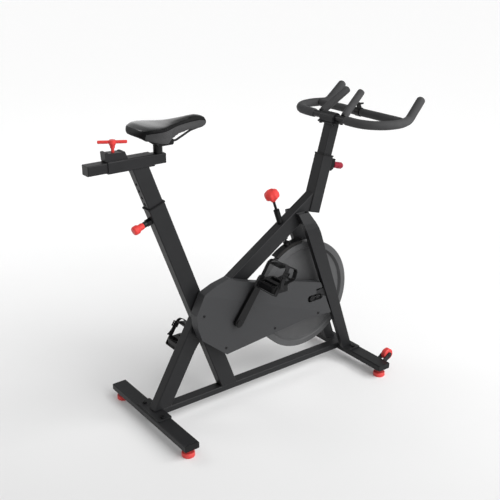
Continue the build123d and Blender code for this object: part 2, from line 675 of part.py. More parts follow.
def crank_arm(hand, px, pz):
    """Crank arm with its end cap and pedal spindle."""
    outer_y = ARM_IN_Y + ARM_THICK if hand > 0 else -ARM_IN_Y
    with BuildPart() as arm:
        with BuildSketch(side(outer_y)):
            with Locations((BB_X, BB_Z)):
                Circle(ARM_WIDTH / 2 + 3)
            with Locations((px, pz)):
                Circle(ARM_WIDTH / 2 - 1)
            make_hull()
            with Locations((BB_X, BB_Z)):
                Circle(BEARING_IN_R, mode=Mode.SUBTRACT)
        extrude(amount=ARM_THICK)
        cap_y = outer_y + 3 if hand > 0 else outer_y - ARM_THICK
        with BuildSketch(side(cap_y)):
            with Locations((BB_X, BB_Z)):
                Circle(12)
        extrude(amount=3)
        arm_out = ARM_IN_Y + ARM_THICK - 2
        spindle_y = arm_out + SPINDLE_REACH if hand > 0 else -arm_out
        with BuildSketch(side(spindle_y)):
            with Locations((px, pz)):
                Circle(SPINDLE_R)
        extrude(amount=SPINDLE_REACH)
    return arm.part


with BuildPart() as crank_pulley:
    pulley_y = (BELT_Y + BELT_WIDTH / 2 + 1, BELT_Y - BELT_WIDTH / 2 - 1)
    add(revolve_about(BB_X, BB_Z, [
        (BEARING_IN_R, -SHELL_HALF - 6), (PULLEY_HUB_R, -SHELL_HALF - 6), (PULLEY_HUB_R, BELT_Y + 3),
        (BIG_PULLEY_R - PULLEY_RIM, BELT_Y + 3), (BIG_PULLEY_R - PULLEY_RIM, pulley_y[0]),
        (BIG_PULLEY_R, pulley_y[0]), (BIG_PULLEY_R, pulley_y[1]), (BIG_PULLEY_R - PULLEY_RIM, pulley_y[1]),
        (BIG_PULLEY_R - PULLEY_RIM, BELT_Y - 3), (PULLEY_HUB_R, BELT_Y - 3),
        (PULLEY_HUB_R, pulley_y[1] - 3), (BEARING_IN_R, pulley_y[1] - 3)]))
    with BuildSketch(side(0)):
        with Locations((BB_X, BB_Z)):
            with PolarLocations((PULLEY_HUB_R + BIG_PULLEY_R - PULLEY_RIM) / 2 + 1, 5):
                Circle(19)
    extrude(amount=80, mode=Mode.SUBTRACT)


def pedal_body(hand, px, pz):
    """Platform with two grip bars and a bored middle barrel on its spindle."""
    depth, width, height = PEDAL_SIZE
    with BuildPart() as body:
        with BuildSketch(Plane.XY.offset(pz - height / 2)):
            with Locations((px, hand * PEDAL_Y)):
                RectangleRounded(depth, width, 12)
                with Locations((-depth / 4 + 0.5, 0), (depth / 4 - 0.5, 0)):
                    RectangleRounded(depth / 4, width - 26, 4, mode=Mode.SUBTRACT)
        extrude(amount=height)
        # the bore is closed at the outer end
        bore_start = hand * PEDAL_Y + (width / 2 + 1 if hand < 0 else width / 2 - 4)
        with BuildSketch(side(bore_start)):
            with Locations((px, pz)):
                Circle(SPINDLE_R + RUN_FIT)
        extrude(amount=width - 3, mode=Mode.SUBTRACT)
        for sign in (-1, 1):
            with BuildSketch(Plane.XY.offset(pz + sign * height / 2)):
                with Locations((px, hand * PEDAL_Y)):
                    with GridLocations(depth - 16, 14, 2, 6):
                        Rectangle(7, 6)
            extrude(amount=1.6, both=True)
    return body.part


CAGE_WIDTH = 62.0
CAGE_THICK = 3.0
STRAP_THICK = 2.0
STRAP_WIDTH = 18.0
STRAP_LEAN = 32.0           # the loop leans forward to the cage's top


def toe_cage(hand, px, pz):
    """Open basket in front of the pedal: bent strip with windows."""
    front = PEDAL_SIZE[0] / 2
    with BuildPart() as cage:
        with BuildSketch(side(hand * PEDAL_Y + CAGE_WIDTH / 2)):
            with BuildLine():
                FilletPolyline((px + front + 1.5, pz - 10), (px + front + 1.5, pz + 4),
                               (px + front + 38, pz + 10), (px + front + 50, pz + 46),
                               (px + front + 6, pz + 66), (px + 4, pz + 72), radius=(3, 12, 14, 20))
            trace(line_width=CAGE_THICK)
        extrude(amount=CAGE_WIDTH)
        for x_low, x_high, y_width in ((front + 8, front + 30, 34), (front + 30, front + 60, 26)):
            with BuildSketch(Plane.XY.offset(pz - 5)):
                with Locations((px + (x_low + x_high) / 2, hand * PEDAL_Y)):
                    Rectangle(x_high - x_low - 6, y_width)
            extrude(amount=80 if x_low > front + 20 else 25, mode=Mode.SUBTRACT)
    return cage.part


def strap_ring(hand, px, pz):
    """Toe strap: a loop under the pedal, up both sides and over the instep."""
    half = PEDAL_SIZE[1] / 2 + 4
    low = -PEDAL_SIZE[2] / 2 - 9
    high = 94
    a = radians(STRAP_LEAN)
    middle = Plane(origin=(px - 22, hand * PEDAL_Y, pz), x_dir=(0, 1, 0), z_dir=(cos(a), 0, -sin(a)))
    with BuildPart() as ring:
        with BuildSketch(middle):
            with BuildLine():
                FilletPolyline((half, low), (half, high), (-half, high), (-half, low),
                               radius=(7, 24, 24, 7), close=True)
            make_face()
            offset(amount=-STRAP_THICK, mode=Mode.SUBTRACT)
        extrude(amount=STRAP_WIDTH / 2, both=True)
    return ring.part


# ================================================================ feet and wheels
def levelling_foot(x, y):
    with BuildPart() as foot:
        with BuildSketch(Plane.XY):
            with Locations((x, y)):
                Circle(FOOT_R)
        extrude(amount=FOOT_PAD_HEIGHT)
        fillet(foot.edges().group_by(Axis.Z)[-1], 4)
        chamfer(foot.edges().group_by(Axis.Z)[0], 1.5)
        with BuildSketch(Plane.XY.offset(FOOT_PAD_HEIGHT - 1)):
            with Locations((x, y)):
                RegularPolygon(FOOT_NUT_R, 6)
        extrude(amount=FOOT_NUT_HEIGHT + 1)
        with BuildSketch(Plane.XY.offset(FOOT_PAD_HEIGHT)):
            with Locations((x, y)):
                Circle(FOOT_STUD_R)
        extrude(amount=STAB_TOP - WALL - 3 - FOOT_PAD_HEIGHT)
    return foot.part


def transport_wheel(hand):
    half = WHEEL_WIDTH / 2
    y = hand * WHEEL_Y
    profile = [(WHEEL_PIN_R + RUN_FIT, y - half), (WHEEL_R - 3, y - half), (WHEEL_R, y - half + 3),
               (WHEEL_R, y + half - 3), (WHEEL_R - 3, y + half), (WHEEL_PIN_R + RUN_FIT, y + half)]
    with BuildPart() as wheel:
        add(revolve_about(WHEEL_X, WHEEL_Z, profile))
    return wheel.part


# ================================================================ seat
HOLE_PITCH = 25.0
HOLE_SLACK = 0.5            # locating holes are this much wider than the pin, all round
SEAT_HOLES = 14
BAR_HOLES = 9
SEAT_HOLE_TOP = 900.0       # height of the top hole of each row
BAR_HOLE_TOP = 940.0


def post_holes(start, lean, count, radius, depth):
    """Cutter with a row of locating holes down one wall of a post."""
    a = radians(lean)
    with BuildPart() as cutter:
        for step in range(count):
            x = start[0] - sin(a) * step * HOLE_PITCH
            z = start[1] - cos(a) * step * HOLE_PITCH
            with BuildSketch(leaning(x, z, lean + (90 if lean > 0 else -90))):
                Circle(radius)
            extrude(amount=depth)
    return cutter.part


SLEEVE_HALF_H = SLIDER[1] / 2 + SLEEVE_GAP + SLEEVE_WALL
SLEEVE_HALF_W = SLIDER[0] / 2 + SLEEVE_GAP + SLEEVE_WALL
sleeve_bottom = Plane.XY.offset(SLEEVE_Z - SLEEVE_HALF_H)
with BuildPart() as seat_post:
    with BuildSketch(leaning(*seat_point(SEAT_TOP_Z), SEAT_LEAN)):
        RectangleRounded(*SEAT_POST, CORNER - 1)
        RectangleRounded(SEAT_POST[0] - 2 * WALL, SEAT_POST[1] - 2 * WALL, CORNER - 1 - WALL,
                         mode=Mode.SUBTRACT)
    extrude(amount=-POST_IN)
    extrude(seat_post.faces().sort_by(Axis.Z)[-1], amount=200)
    split(bisect_by=sleeve_bottom, keep=Keep.BOTTOM)
    holes = post_holes(seat_point(SEAT_HOLE_TOP), SEAT_LEAN, SEAT_HOLES, PIN_R + HOLE_SLACK, SEAT_POST[0])
    add(holes, mode=Mode.SUBTRACT)

with BuildPart() as slider_sleeve:
    with BuildSketch(Plane(origin=(SLEEVE_X[0], 0, SLEEVE_Z), x_dir=(0, 1, 0), z_dir=(1, 0, 0))):
        RectangleRounded(2 * SLEEVE_HALF_W, 2 * SLEEVE_HALF_H, CORNER)
        Rectangle(SLIDER[0] + 2 * SLEEVE_GAP, SLIDER[1] + 2 * SLEEVE_GAP, mode=Mode.SUBTRACT)
    extrude(amount=SLEEVE_X[1] - SLEEVE_X[0])
    sleeve_top = SLEEVE_Z + SLEEVE_HALF_H
    with BuildSketch(side(16)):
        with BuildLine():
            Polyline((-556, sleeve_top - 0.5), (-558, sleeve_top + 27), (-550, sleeve_top + 28),
                     (-544, sleeve_top + 24), (-502, sleeve_top + 22), (-496, sleeve_top + 24),
                     (-490, sleeve_top + 23), (-481, sleeve_top - 0.5), close=True)
        make_face()
    extrude(amount=32)
    with BuildSketch(Plane.XY.offset(SLEEVE_Z)):
        with Locations((CLAMP_SCREW_X, 0)):
            Circle(ROD_R + RUN_FIT)
    extrude(amount=80, mode=Mode.SUBTRACT)

HANDLE_Z = 1038.0
HANDLE_LENGTH = 90.0
HANDLE_R = 5.2
HANDLE_TURN = -30.0
with BuildPart() as clamp_handle:
    with BuildSketch(Plane(origin=(CLAMP_SCREW_X, 0, 0), x_dir=(1, 0, 0), z_dir=(0, -1, 0))):
        with BuildLine():
            Polyline((0, HANDLE_Z - 19), (7, HANDLE_Z - 19), (8, HANDLE_Z - 12), (11.5, HANDLE_Z - 5),
                     (11.5, HANDLE_Z + 4), (9, HANDLE_Z + 6.5), (0, HANDLE_Z + 6.5), close=True)
        make_face()
    revolve(axis=Axis((CLAMP_SCREW_X, 0, 0), (0, 0, 1)))
    with BuildSketch(Plane(origin=(CLAMP_SCREW_X, 0, HANDLE_Z),
                           z_dir=(cos(radians(HANDLE_TURN)), sin(radians(HANDLE_TURN)), 0))):
        Circle(HANDLE_R)
    extrude(amount=HANDLE_LENGTH / 2, both=True)
    fillet(clamp_handle.edges().filter_by(GeomType.CIRCLE).filter_by(
        lambda e: abs(e.radius - HANDLE_R) < 0.01).sort_by_distance((CLAMP_SCREW_X, 0, HANDLE_Z))[-2:], 3)
    # screw moulded into the boss, bearing on top of the slider
    with BuildSketch(Plane.XY.offset(SLEEVE_Z + SLIDER[1] / 2 + SLEEVE_GAP)):
        with Locations((CLAMP_SCREW_X, 0)):
            Circle(ROD_R)
    extrude(amount=48)

with BuildPart() as seat_slider:
    with BuildSketch(Plane(origin=(SLIDER_X[0] + SLIDER_CAP, 0, SLEEVE_Z), x_dir=(0, 1, 0),
                           z_dir=(1, 0, 0))):
        RectangleRounded(*SLIDER, SLIDER_CORNER)
        RectangleRounded(SLIDER[0] - 2 * WALL, SLIDER[1] - 2 * WALL, 1, mode=Mode.SUBTRACT)
    extrude(amount=SLIDER_X[1] - SLIDER_X[0] - 2 * SLIDER_CAP)

with BuildPart() as slider_end_caps:
    for x, inward in ((SLIDER_X[0], 1), (SLIDER_X[1], -1)):
        with BuildSketch(Plane(origin=(x, 0, SLEEVE_Z), x_dir=(0, 1, 0), z_dir=(inward, 0, 0))):
            RectangleRounded(*SLIDER, SLIDER_CORNER)
        extrude(amount=SLIDER_CAP)
        with BuildSketch(Plane(origin=(x + inward * SLIDER_CAP, 0, SLEEVE_Z), x_dir=(0, 1, 0),
                               z_dir=(inward, 0, 0))):
            RectangleRounded(SLIDER[0] - 2 * WALL, SLIDER[1] - 2 * WALL, 1)
        extrude(amount=SLIDER_PLUG)

CLAMP_LOW = SLEEVE_Z + SLIDER[1] / 2 + PILLAR_HEIGHT
RAIL_Z = CLAMP_LOW + 11
SADDLE_RAIL_Y = 22.0
SADDLE_RAIL_R = 3.5
CLAMP_X = PILLAR_X + 16
CLAMP_WIDTH = 56.0
CLAMP_NUT_R = 7.5
CLAMP_NUT_HEIGHT = 4.0
with BuildPart() as saddle_clamp:
    with BuildSketch(side(CLAMP_WIDTH / 2)):
        with Locations((CLAMP_X, RAIL_Z - 1)):
            RectangleRounded(54, 20, 6)
    extrude(amount=CLAMP_WIDTH)
    # short pillar that stands on the slider
    with BuildSketch(Plane.XY.offset(SLEEVE_Z + SLIDER[1] / 2)):
        with Locations((PILLAR_X, 0)):
            Circle(PILLAR_R)
    extrude(amount=PILLAR_HEIGHT + 5)
    with BuildSketch(Plane(origin=(PILLAR_X - 20, 0, RAIL_Z), x_dir=(0, 1, 0), z_dir=(1, 0, 0))):
        with Locations((-SADDLE_RAIL_Y, 0), (SADDLE_RAIL_Y, 0)):
            Circle(SADDLE_RAIL_R)
    extrude(amount=80, mode=Mode.SUBTRACT)
    for nut_y in (CLAMP_WIDTH / 2 + CLAMP_NUT_HEIGHT, -CLAMP_WIDTH / 2):
        with BuildSketch(side(nut_y)):
            with Locations((CLAMP_X, RAIL_Z - 1)):
                RegularPolygon(CLAMP_NUT_R, 6)
        extrude(amount=CLAMP_NUT_HEIGHT)

SHELL_Z = 1047.0
with BuildPart() as saddle_frame:
    for hand in (-1, 1):
        with BuildLine():
            FilletPolyline((-222, hand * 9, SHELL_Z - 4), (-250, hand * 12, SHELL_Z - 8),
                           (-312, hand * SADDLE_RAIL_Y, RAIL_Z), (-392, hand * SADDLE_RAIL_Y, RAIL_Z),
                           (-428, hand * 30, SHELL_Z - 6), radius=(20, 30, 20))
        with BuildSketch(Plane(origin=(-222, hand * 9, SHELL_Z - 4), z_dir=(-28, hand * 3, -4))):
            Circle(SADDLE_RAIL_R)
        sweep()
    with BuildSketch(Plane.XY.offset(SHELL_Z - 4)):
        with Locations((-428, 0)):
            RectangleRounded(24, 76, 6)
        with Locations((-224, 0)):
            RectangleRounded(24, 26, 6)
    extrude(amount=4)


def saddle_half_width(x):
    """Half width of the saddle along its length: broad wings, then a slim nose."""
    outline = [(-458, 30), (-445, 62), (-415, 78), (-385, 74), (-340, 46), (-290, 28), (-240, 21),
               (-200, 19), (-184, 10)]
    for (x0, w0), (x1, w1) in zip(outline, outline[1:]):
        if x0 <= x <= x1:
            return w0 + (w1 - w0) * (x - x0) / (x1 - x0)
    return 0.0


PAD_BLANK_LOW = 1000.0      # the pad is cut from a blank that spans its height
PAD_BLANK_HEIGHT = 120.0
PAD_BLANK_HALF = 90.0
with BuildPart() as saddle_pad:
    plan_x = [SADDLE_X[0], -445, -415, -385, -340, -290, -240, -200, SADDLE_X[1] - 2]
    with BuildSketch(Plane.XY.offset(PAD_BLANK_LOW)):
        with BuildLine():
            right = Spline(*[(x, -saddle_half_width(x)) for x in plan_x])
            left = Spline(*[(x, saddle_half_width(x)) for x in plan_x])
            Line(right @ 0, left @ 0)
            Line(right @ 1, left @ 1)
        make_face()
    extrude(amount=PAD_BLANK_HEIGHT)
    with BuildSketch(side(PAD_BLANK_HALF)):
        with BuildLine():
            top = Spline((-461, 1056), (-440, 1074), (-400, 1074), (-330, 1068), (-260, 1078), (-215, 1084),
                         (-181, 1071))
            bottom = Spline((-461, 1043), (-430, 1030), (-390, 1020), (-340, 1024), (-280, 1040),
                            (-220, 1044), (-181, 1055))
            Line(top @ 0, bottom @ 0)
            Line(top @ 1, bottom @ 1)
        make_face()
    extrude(amount=2 * PAD_BLANK_HALF, mode=Mode.INTERSECT)
    # hollow underneath, over the saddle's frame
    with BuildSketch(Plane.XY.offset(PAD_BLANK_LOW)):
        with Locations((-326, 0)):
            RectangleRounded(246, 40, 12)
        with Locations((-405, 0)):
            RectangleRounded(86, 84, 12)
        with Locations((-385, 0)):
            RectangleRounded(134, 68, 12)
    extrude(amount=SHELL_Z - PAD_BLANK_LOW, mode=Mode.SUBTRACT)

# ================================================================ handlebar
with BuildPart() as handlebar_post:
    with BuildSketch(leaning(*head_point(HEAD_TOP_Z), HEAD_LEAN)):
        RectangleRounded(BAR_POST, BAR_POST, CORNER - 1)
        RectangleRounded(BAR_POST - 2 * WALL, BAR_POST - 2 * WALL, CORNER - 1 - WALL, mode=Mode.SUBTRACT)
    extrude(amount=-BAR_POST_IN)
    extrude(handlebar_post.faces().sort_by(Axis.Z)[-1], amount=180)
    split(bisect_by=Plane.XY.offset(CLAMP_PLATE_Z), keep=Keep.BOTTOM)
    holes = post_holes(head_point(BAR_HOLE_TOP), HEAD_LEAN, BAR_HOLES, PIN_R + HOLE_SLACK, BAR_POST)
    add(holes, mode=Mode.SUBTRACT)

TIP = Vector(607, 206, 1067)
HORN_FOOT = Vector(538, 215, BAR_Z)
LOOP_CORNER = Vector(BAR_REAR_X, 280, BAR_Z)
LOOP_BEND = 106.0
HORN_BEND = 38.0
INNER_FOOT = Vector(BAR_REAR_X, 62, BAR_Z)
INNER_TIP = Vector(473, 36, 1083)


def mirrored(point, hand):
    return Vector(point.X, hand * point.Y, point.Z)


with BuildPart() as handlebar_tube:
    with BuildLine() as bar_path:
        FilletPolyline(mirrored(TIP, -1), mirrored(HORN_FOOT, -1), mirrored(LOOP_CORNER, -1),
                       mirrored(LOOP_CORNER, 1), mirrored(HORN_FOOT, 1), mirrored(TIP, 1),
                       radius=(HORN_BEND, LOOP_BEND, LOOP_BEND, HORN_BEND))
    with BuildSketch(Plane(origin=mirrored(TIP, -1), z_dir=mirrored(HORN_FOOT - TIP, -1))):
        Circle(BAR_TUBE_R)
        Circle(BAR_TUBE_R - WALL, mode=Mode.SUBTRACT)
    sweep()
    loop_slope = (LOOP_CORNER.Y - HORN_FOOT.Y) / (HORN_FOOT.X - LOOP_CORNER.X)
    side_y = HORN_FOOT.Y + loop_slope * (HORN_FOOT.X - CROSSBAR_X)
    with BuildSketch(side(side_y - BAR_TUBE_R + 1)):
        with Locations((CROSSBAR_X, BAR_Z)):
            Circle(CROSSBAR_R)
    extrude(amount=2 * (side_y - BAR_TUBE_R + 1))
    hollow_y = side_y - BAR_TUBE_R - 4
    with BuildSketch(side(hollow_y)):
        with Locations((CROSSBAR_X, BAR_Z)):
            Circle(CROSSBAR_R - 2 * WALL)
    extrude(amount=2 * hollow_y, mode=Mode.SUBTRACT)
    for hand in (-1, 1):
        foot = mirrored(INNER_FOOT, hand)
        reach = mirrored(INNER_TIP, hand) - foot
        with BuildSketch(Plane(origin=foot + reach.normalized() * (BAR_TUBE_R - 1), z_dir=reach)):
            Circle(BAR_TUBE_R)
            Circle(BAR_TUBE_R - WALL, mode=Mode.SUBTRACT)
        extrude(amount=reach.length - BAR_TUBE_R + 1)

GRIP_START_Y = 82.0
GRIP_END_TAPER = 30


def loop_grip(hand):
    """Foam sleeve from the rear bar round the side and up the horn to its closed tip."""
    end = mirrored(TIP, hand)
    beyond = (end - mirrored(HORN_FOOT, hand)).normalized()
    with BuildPart() as grip:
        with BuildLine():
            FilletPolyline((BAR_REAR_X, hand * GRIP_START_Y, BAR_Z), mirrored(LOOP_CORNER, hand),
                           mirrored(HORN_FOOT, hand), end, radius=(LOOP_BEND, HORN_BEND))
        with BuildSketch(Plane(origin=(BAR_REAR_X, hand * GRIP_START_Y, BAR_Z), z_dir=(0, hand, 0))):
            Circle(GRIP_R)
            Circle(BAR_TUBE_R, mode=Mode.SUBTRACT)
        sweep()
        with BuildSketch(Plane(origin=end, z_dir=beyond)):
            Circle(GRIP_R)
        extrude(amount=6, taper=GRIP_END_TAPER)
        with BuildSketch(side(hand * side_y + (0 if hand > 0 else 2 * GRIP_R))):
            with Locations((CROSSBAR_X, BAR_Z)):
                Circle(CROSSBAR_R)
        extrude(amount=2 * GRIP_R, mode=Mode.SUBTRACT)
    return grip.part


def inner_grip(hand):
    foot = mirrored(INNER_FOOT, hand)
    reach = mirrored(INNER_TIP, hand) - foot
    unit = reach.normalized()
    start = BAR_TUBE_R + 4
    with BuildPart() as grip:
        with BuildSketch(Plane(origin=foot + unit * start, z_dir=unit)):
            Circle(GRIP_R - 1)
            Circle(BAR_TUBE_R, mode=Mode.SUBTRACT)
        extrude(amount=reach.length - start)
        with BuildSketch(Plane(origin=foot + reach, z_dir=unit)):
            Circle(GRIP_R - 1)
        extrude(amount=6, taper=GRIP_END_TAPER)
    return grip.part


with BuildPart() as handlebar_clamp:
    # plate on the post, saddle block under the rear bar and the cap over it
    with BuildSketch(Plane.XY.offset(CLAMP_PLATE_Z)):
        with Locations((BAR_REAR_X + 5, 0)):
            RectangleRounded(*CLAMP_PLATE, 8)
    extrude(amount=PLATE_THICK)
    with BuildSketch(side(34)):
        with Locations((BAR_REAR_X, 996)):
            RectangleRounded(46, 23, 5)
        with Locations((BAR_REAR_X, BAR_Z)):
            Circle(19)
            Circle(BAR_TUBE_R, mode=Mode.SUBTRACT)
    extrude(amount=68)
    with BuildSketch(Plane.XY.offset(CLAMP_PLATE_Z - 6)):
        with Locations((BAR_REAR_X + 5, 0)):
            with GridLocations(36, 72, 2, 2):
                RegularPolygon(6.5, 6)
    extrude(amount=6)

with BuildPart() as device_holder:
    with BuildSketch(side(11)):
        with Locations((CROSSBAR_X, BAR_Z)):
            Circle(CROSSBAR_R + 3)
            Circle(CROSSBAR_R, mode=Mode.SUBTRACT)
    extrude(amount=22)
    with BuildSketch(side(7)):
        with BuildLine():
            Polyline((CROSSBAR_X - 7, BAR_Z + CROSSBAR_R), (CROSSBAR_X - 9, BAR_Z + 34),
                     (CROSSBAR_X - 2, BAR_Z + 36), (CROSSBAR_X + 7, BAR_Z + CROSSBAR_R), close=True)
        make_face()
    extrude(amount=14)
    for hand in (-1, 1):
        with BuildSketch(Plane(origin=(CROSSBAR_X - 5, 0, BAR_Z + 30), z_dir=(-0.1, hand, 0.25))):
            RectangleRounded(7, 9, 2)
        extrude(amount=26)

# ================================================================ collars, pins, knobs
def collar(centre, lean, outer, inner, depth):
    """Plastic bush between a tube and its post, with a flange on the tube's end."""
    with BuildPart() as bush:
        plane = leaning(*centre, lean)
        with BuildSketch(plane):
            RectangleRounded(outer[0] + 3, outer[1] + 3, CORNER + 1)
            RectangleRounded(inner[0] + 0.6, inner[1] + 0.6, CORNER - 1, mode=Mode.SUBTRACT)
        extrude(amount=4)
        with BuildSketch(plane):
            RectangleRounded(outer[0] - 5.4, outer[1] - 5.4, CORNER - 1)
            RectangleRounded(inner[0] + 0.6, inner[1] + 0.6, CORNER - 1, mode=Mode.SUBTRACT)
        extrude(amount=-depth)
    return bush.part


def pin_housing(point, lean, wall, hexagon):
    """Threaded bush or lug that holds a spring pin, standing on the tube's wall."""
    with BuildPart() as housing:
        x, z = point
        a = radians(lean)
        start = (x + sin(a) * wall, z + cos(a) * wall)
        with BuildSketch(leaning(*start, lean)):
            if hexagon:
                RegularPolygon(14, 6)
            else:
                Rectangle(*LUG)
        extrude(amount=16 if hexagon else 24)
        if hexagon:
            with BuildSketch(leaning(start[0] + sin(a) * 15, start[1] + cos(a) * 15, lean)):
                Circle(10)
            extrude(amount=12)
        else:
            chamfer(housing.edges().filter_by(Axis.Y).sort_by(Axis.Z)[0], 9)
        with BuildSketch(leaning(*point, lean)):
            Circle(PIN_R + RUN_FIT)
        extrude(amount=120, mode=Mode.SUBTRACT)
    return housing.part


SEAT_PIN_LEAN = SEAT_LEAN - 90
HEAD_PIN_LEAN = HEAD_LEAN + 90


def sliding_pin(point, lean, start, end):
    a = radians(lean)
    with BuildPart() as pin:
        with BuildSketch(leaning(point[0] + sin(a) * start, point[1] + cos(a) * start, lean)):
            Circle(PIN_R)
        extrude(amount=end - start)
        chamfer(pin.edges().filter_by(GeomType.CIRCLE).sort_by_distance((point[0], 0, point[1]))[0], 1)
    return pin.part


def pull_knob(point, lean, start, profile):
    """Turned knob on the end of a pin; profile is (along the pin, radius)."""
    a = radians(lean)
    along = (sin(a), cos(a))
    base = Plane(origin=(point[0] + along[0] * start, 0, point[1] + along[1] * start),
                 x_dir=(0, 1, 0), z_dir=(along[1], 0, -along[0]))
    with BuildPart() as knob:
        with BuildSketch(base):
            with BuildLine():
                Polyline((0, 0), *[(r, s) for s, r in profile], (0, profile[-1][0]), close=True)
            make_face()
        revolve(axis=Axis(base.origin, (along[0], 0, along[1])))
        with BuildSketch(leaning(point[0] + along[0] * start, point[1] + along[1] * start, lean)):
            Circle(PIN_R)
        extrude(amount=12, mode=Mode.SUBTRACT)
    return knob.part


SEAT_WALL = SEAT_TUBE[0] / 2
HEAD_WALL = HEAD_TUBE / 2
seat_pin_point = seat_point(SEAT_PIN_Z)
head_pin_point = head_point(HEAD_PIN_Z)

with BuildPart() as post_collars:
    seat_flange = (SEAT_TUBE[0] + 1.4, SEAT_TUBE[1] + 1.4)
    add(collar(seat_point(SEAT_TOP_Z), SEAT_LEAN, seat_flange, SEAT_POST, 30))
    head_flange = (HEAD_TUBE + 0.4, HEAD_TUBE + 0.4)
    add(collar(head_point(HEAD_TOP_Z), HEAD_LEAN, head_flange, (BAR_POST, BAR_POST), 12))

with BuildPart() as pin_housings:
    add(pin_housing(seat_pin_point, SEAT_PIN_LEAN, SEAT_WALL, True))
    add(pin_housing(head_pin_point, HEAD_PIN_LEAN, HEAD_WALL, False))

seat_knob_start = SEAT_WALL + 29
head_knob_start = HEAD_WALL + 33
seat_pin = sliding_pin(seat_pin_point, SEAT_PIN_LEAN, SEAT_POST[0] / 2 + PIN_TIP_GAP, seat_knob_start + 12)
head_pin = sliding_pin(head_pin_point, HEAD_PIN_LEAN, BAR_POST / 2 + PIN_TIP_GAP, head_knob_start + 12)
seat_pin_knob = pull_knob(seat_pin_point, SEAT_PIN_LEAN, seat_knob_start,
                          [(0, 9), (4, 11), (16, 11), (22, 15), (35, 15), (40, 12)])
head_pin_knob = pull_knob(head_pin_point, HEAD_PIN_LEAN, head_knob_start,
                          [(0, 11), (2, 12), (14, 12), (17, 10.5), (21, 12.5), (38, 12.5), (44, 9)])

# ================================================================ hand over
for builder, label in (
        (rear_stabiliser, "rear_stabiliser"), (front_stabiliser, "front_stabiliser"),
        (stabiliser_end_caps, "stabiliser_end_caps"), (base_rail, "base_rail"),
        (stabiliser_bolts, "stabiliser_bolts"), (seat_tube, "seat_tube"), (rear_leg, "rear_leg"),
        (main_tube, "main_tube"), (head_tube, "head_tube"), (bottom_bracket_shell, "bottom_bracket_shell"),
        (bearings, "bearings"), (flywheel_axle, "flywheel_axle"), (axle_hardware, "axle_hardware"),
        (flywheel, "flywheel"), (flywheel_pulley, "flywheel_pulley"), (drive_belt, "drive_belt"),
        (guard_outer, "guard_outer"), (guard_inner, "guard_inner"), (guard_screws, "guard_screws"),
        (brake_sleeve, "brake_sleeve"), (brake_pad, "brake_pad"),
        (brake_rod, "brake_rod"), (brake_knob, "brake_knob"), (crank_axle, "crank_axle"),
        (crank_pulley, "crank_pulley"), (seat_post, "seat_post"),
        (slider_sleeve, "slider_sleeve"), (clamp_handle, "clamp_handle"),
        (seat_slider, "seat_slider"), (slider_end_caps, "slider_end_caps"), (saddle_clamp, "saddle_clamp"),
        (saddle_frame, "saddle_frame"), (saddle_pad, "saddle_pad"), (handlebar_post, "handlebar_post"),
        (handlebar_tube, "handlebar_tube"), (handlebar_clamp, "handlebar_clamp"),
        (device_holder, "device_holder"), (post_collars, "post_collars"), (pin_housings, "pin_housings")):
    keep(builder.part, label)

for hand, name in ((-1, "right"), (1, "left")):
    px, pz = right_pedal if hand < 0 else left_pedal
    keep(fork_leg(hand), f"fork_leg_{name}")
    keep(crank_arm(hand, px, pz), f"crank_arm_{name}")
    keep(pedal_body(hand, px, pz), f"pedal_{name}")
    keep(toe_cage(hand, px, pz), f"toe_cage_{name}")
    keep(strap_ring(hand, px, pz), f"toe_strap_{name}")
    keep(transport_wheel(hand), f"transport_wheel_{name}")
    keep(levelling_foot(REAR_X, hand * FOOT_Y), f"foot_rear_{name}")
    keep(levelling_foot(FRONT_X, hand * FOOT_Y), f"foot_front_{name}")

with BuildPart() as handlebar_grips:
    for hand in (-1, 1):
        add(loop_grip(hand))
        add(inner_grip(hand))
keep(handlebar_grips.part, "handlebar_grips")
keep(seat_pin, "seat_pin")
keep(head_pin, "head_pin")
keep(seat_pin_knob, "seat_pin_knob")
keep(head_pin_knob, "head_pin_knob")

whole = Compound(children=made).bounding_box()
print("nodes", len(made))
print("box low ", [round(v, 1) for v in whole.min])
print("box high", [round(v, 1) for v in whole.max])
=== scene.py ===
"""Looks for the indoor spin bike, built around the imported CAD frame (metres, +X front, +Y left, +Z up)."""
import json
import math

import bmesh
import bpy
from mathutils import Matrix, Vector


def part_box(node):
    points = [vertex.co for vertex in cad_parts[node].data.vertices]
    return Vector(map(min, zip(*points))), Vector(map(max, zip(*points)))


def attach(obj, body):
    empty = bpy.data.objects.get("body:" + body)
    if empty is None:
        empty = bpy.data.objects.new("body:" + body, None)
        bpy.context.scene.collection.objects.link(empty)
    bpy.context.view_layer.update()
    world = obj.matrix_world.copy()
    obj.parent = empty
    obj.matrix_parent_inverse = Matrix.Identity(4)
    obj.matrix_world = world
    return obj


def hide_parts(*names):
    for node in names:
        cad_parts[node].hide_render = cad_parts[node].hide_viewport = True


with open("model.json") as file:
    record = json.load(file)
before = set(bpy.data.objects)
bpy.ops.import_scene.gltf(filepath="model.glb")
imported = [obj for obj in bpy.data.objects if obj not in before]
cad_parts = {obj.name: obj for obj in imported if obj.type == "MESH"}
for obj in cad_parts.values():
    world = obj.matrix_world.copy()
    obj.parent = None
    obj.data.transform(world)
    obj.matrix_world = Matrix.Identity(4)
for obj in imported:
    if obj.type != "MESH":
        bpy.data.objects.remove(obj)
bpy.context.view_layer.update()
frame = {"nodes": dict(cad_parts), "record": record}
nodes = frame["nodes"]
MM = 0.001
X, Y, Z = Vector((1, 0, 0)), Vector((0, 1, 0)), Vector((0, 0, 1))
HANDS = ((-1, "right"), (1, "left"))        # the side's sign in Y, and its name


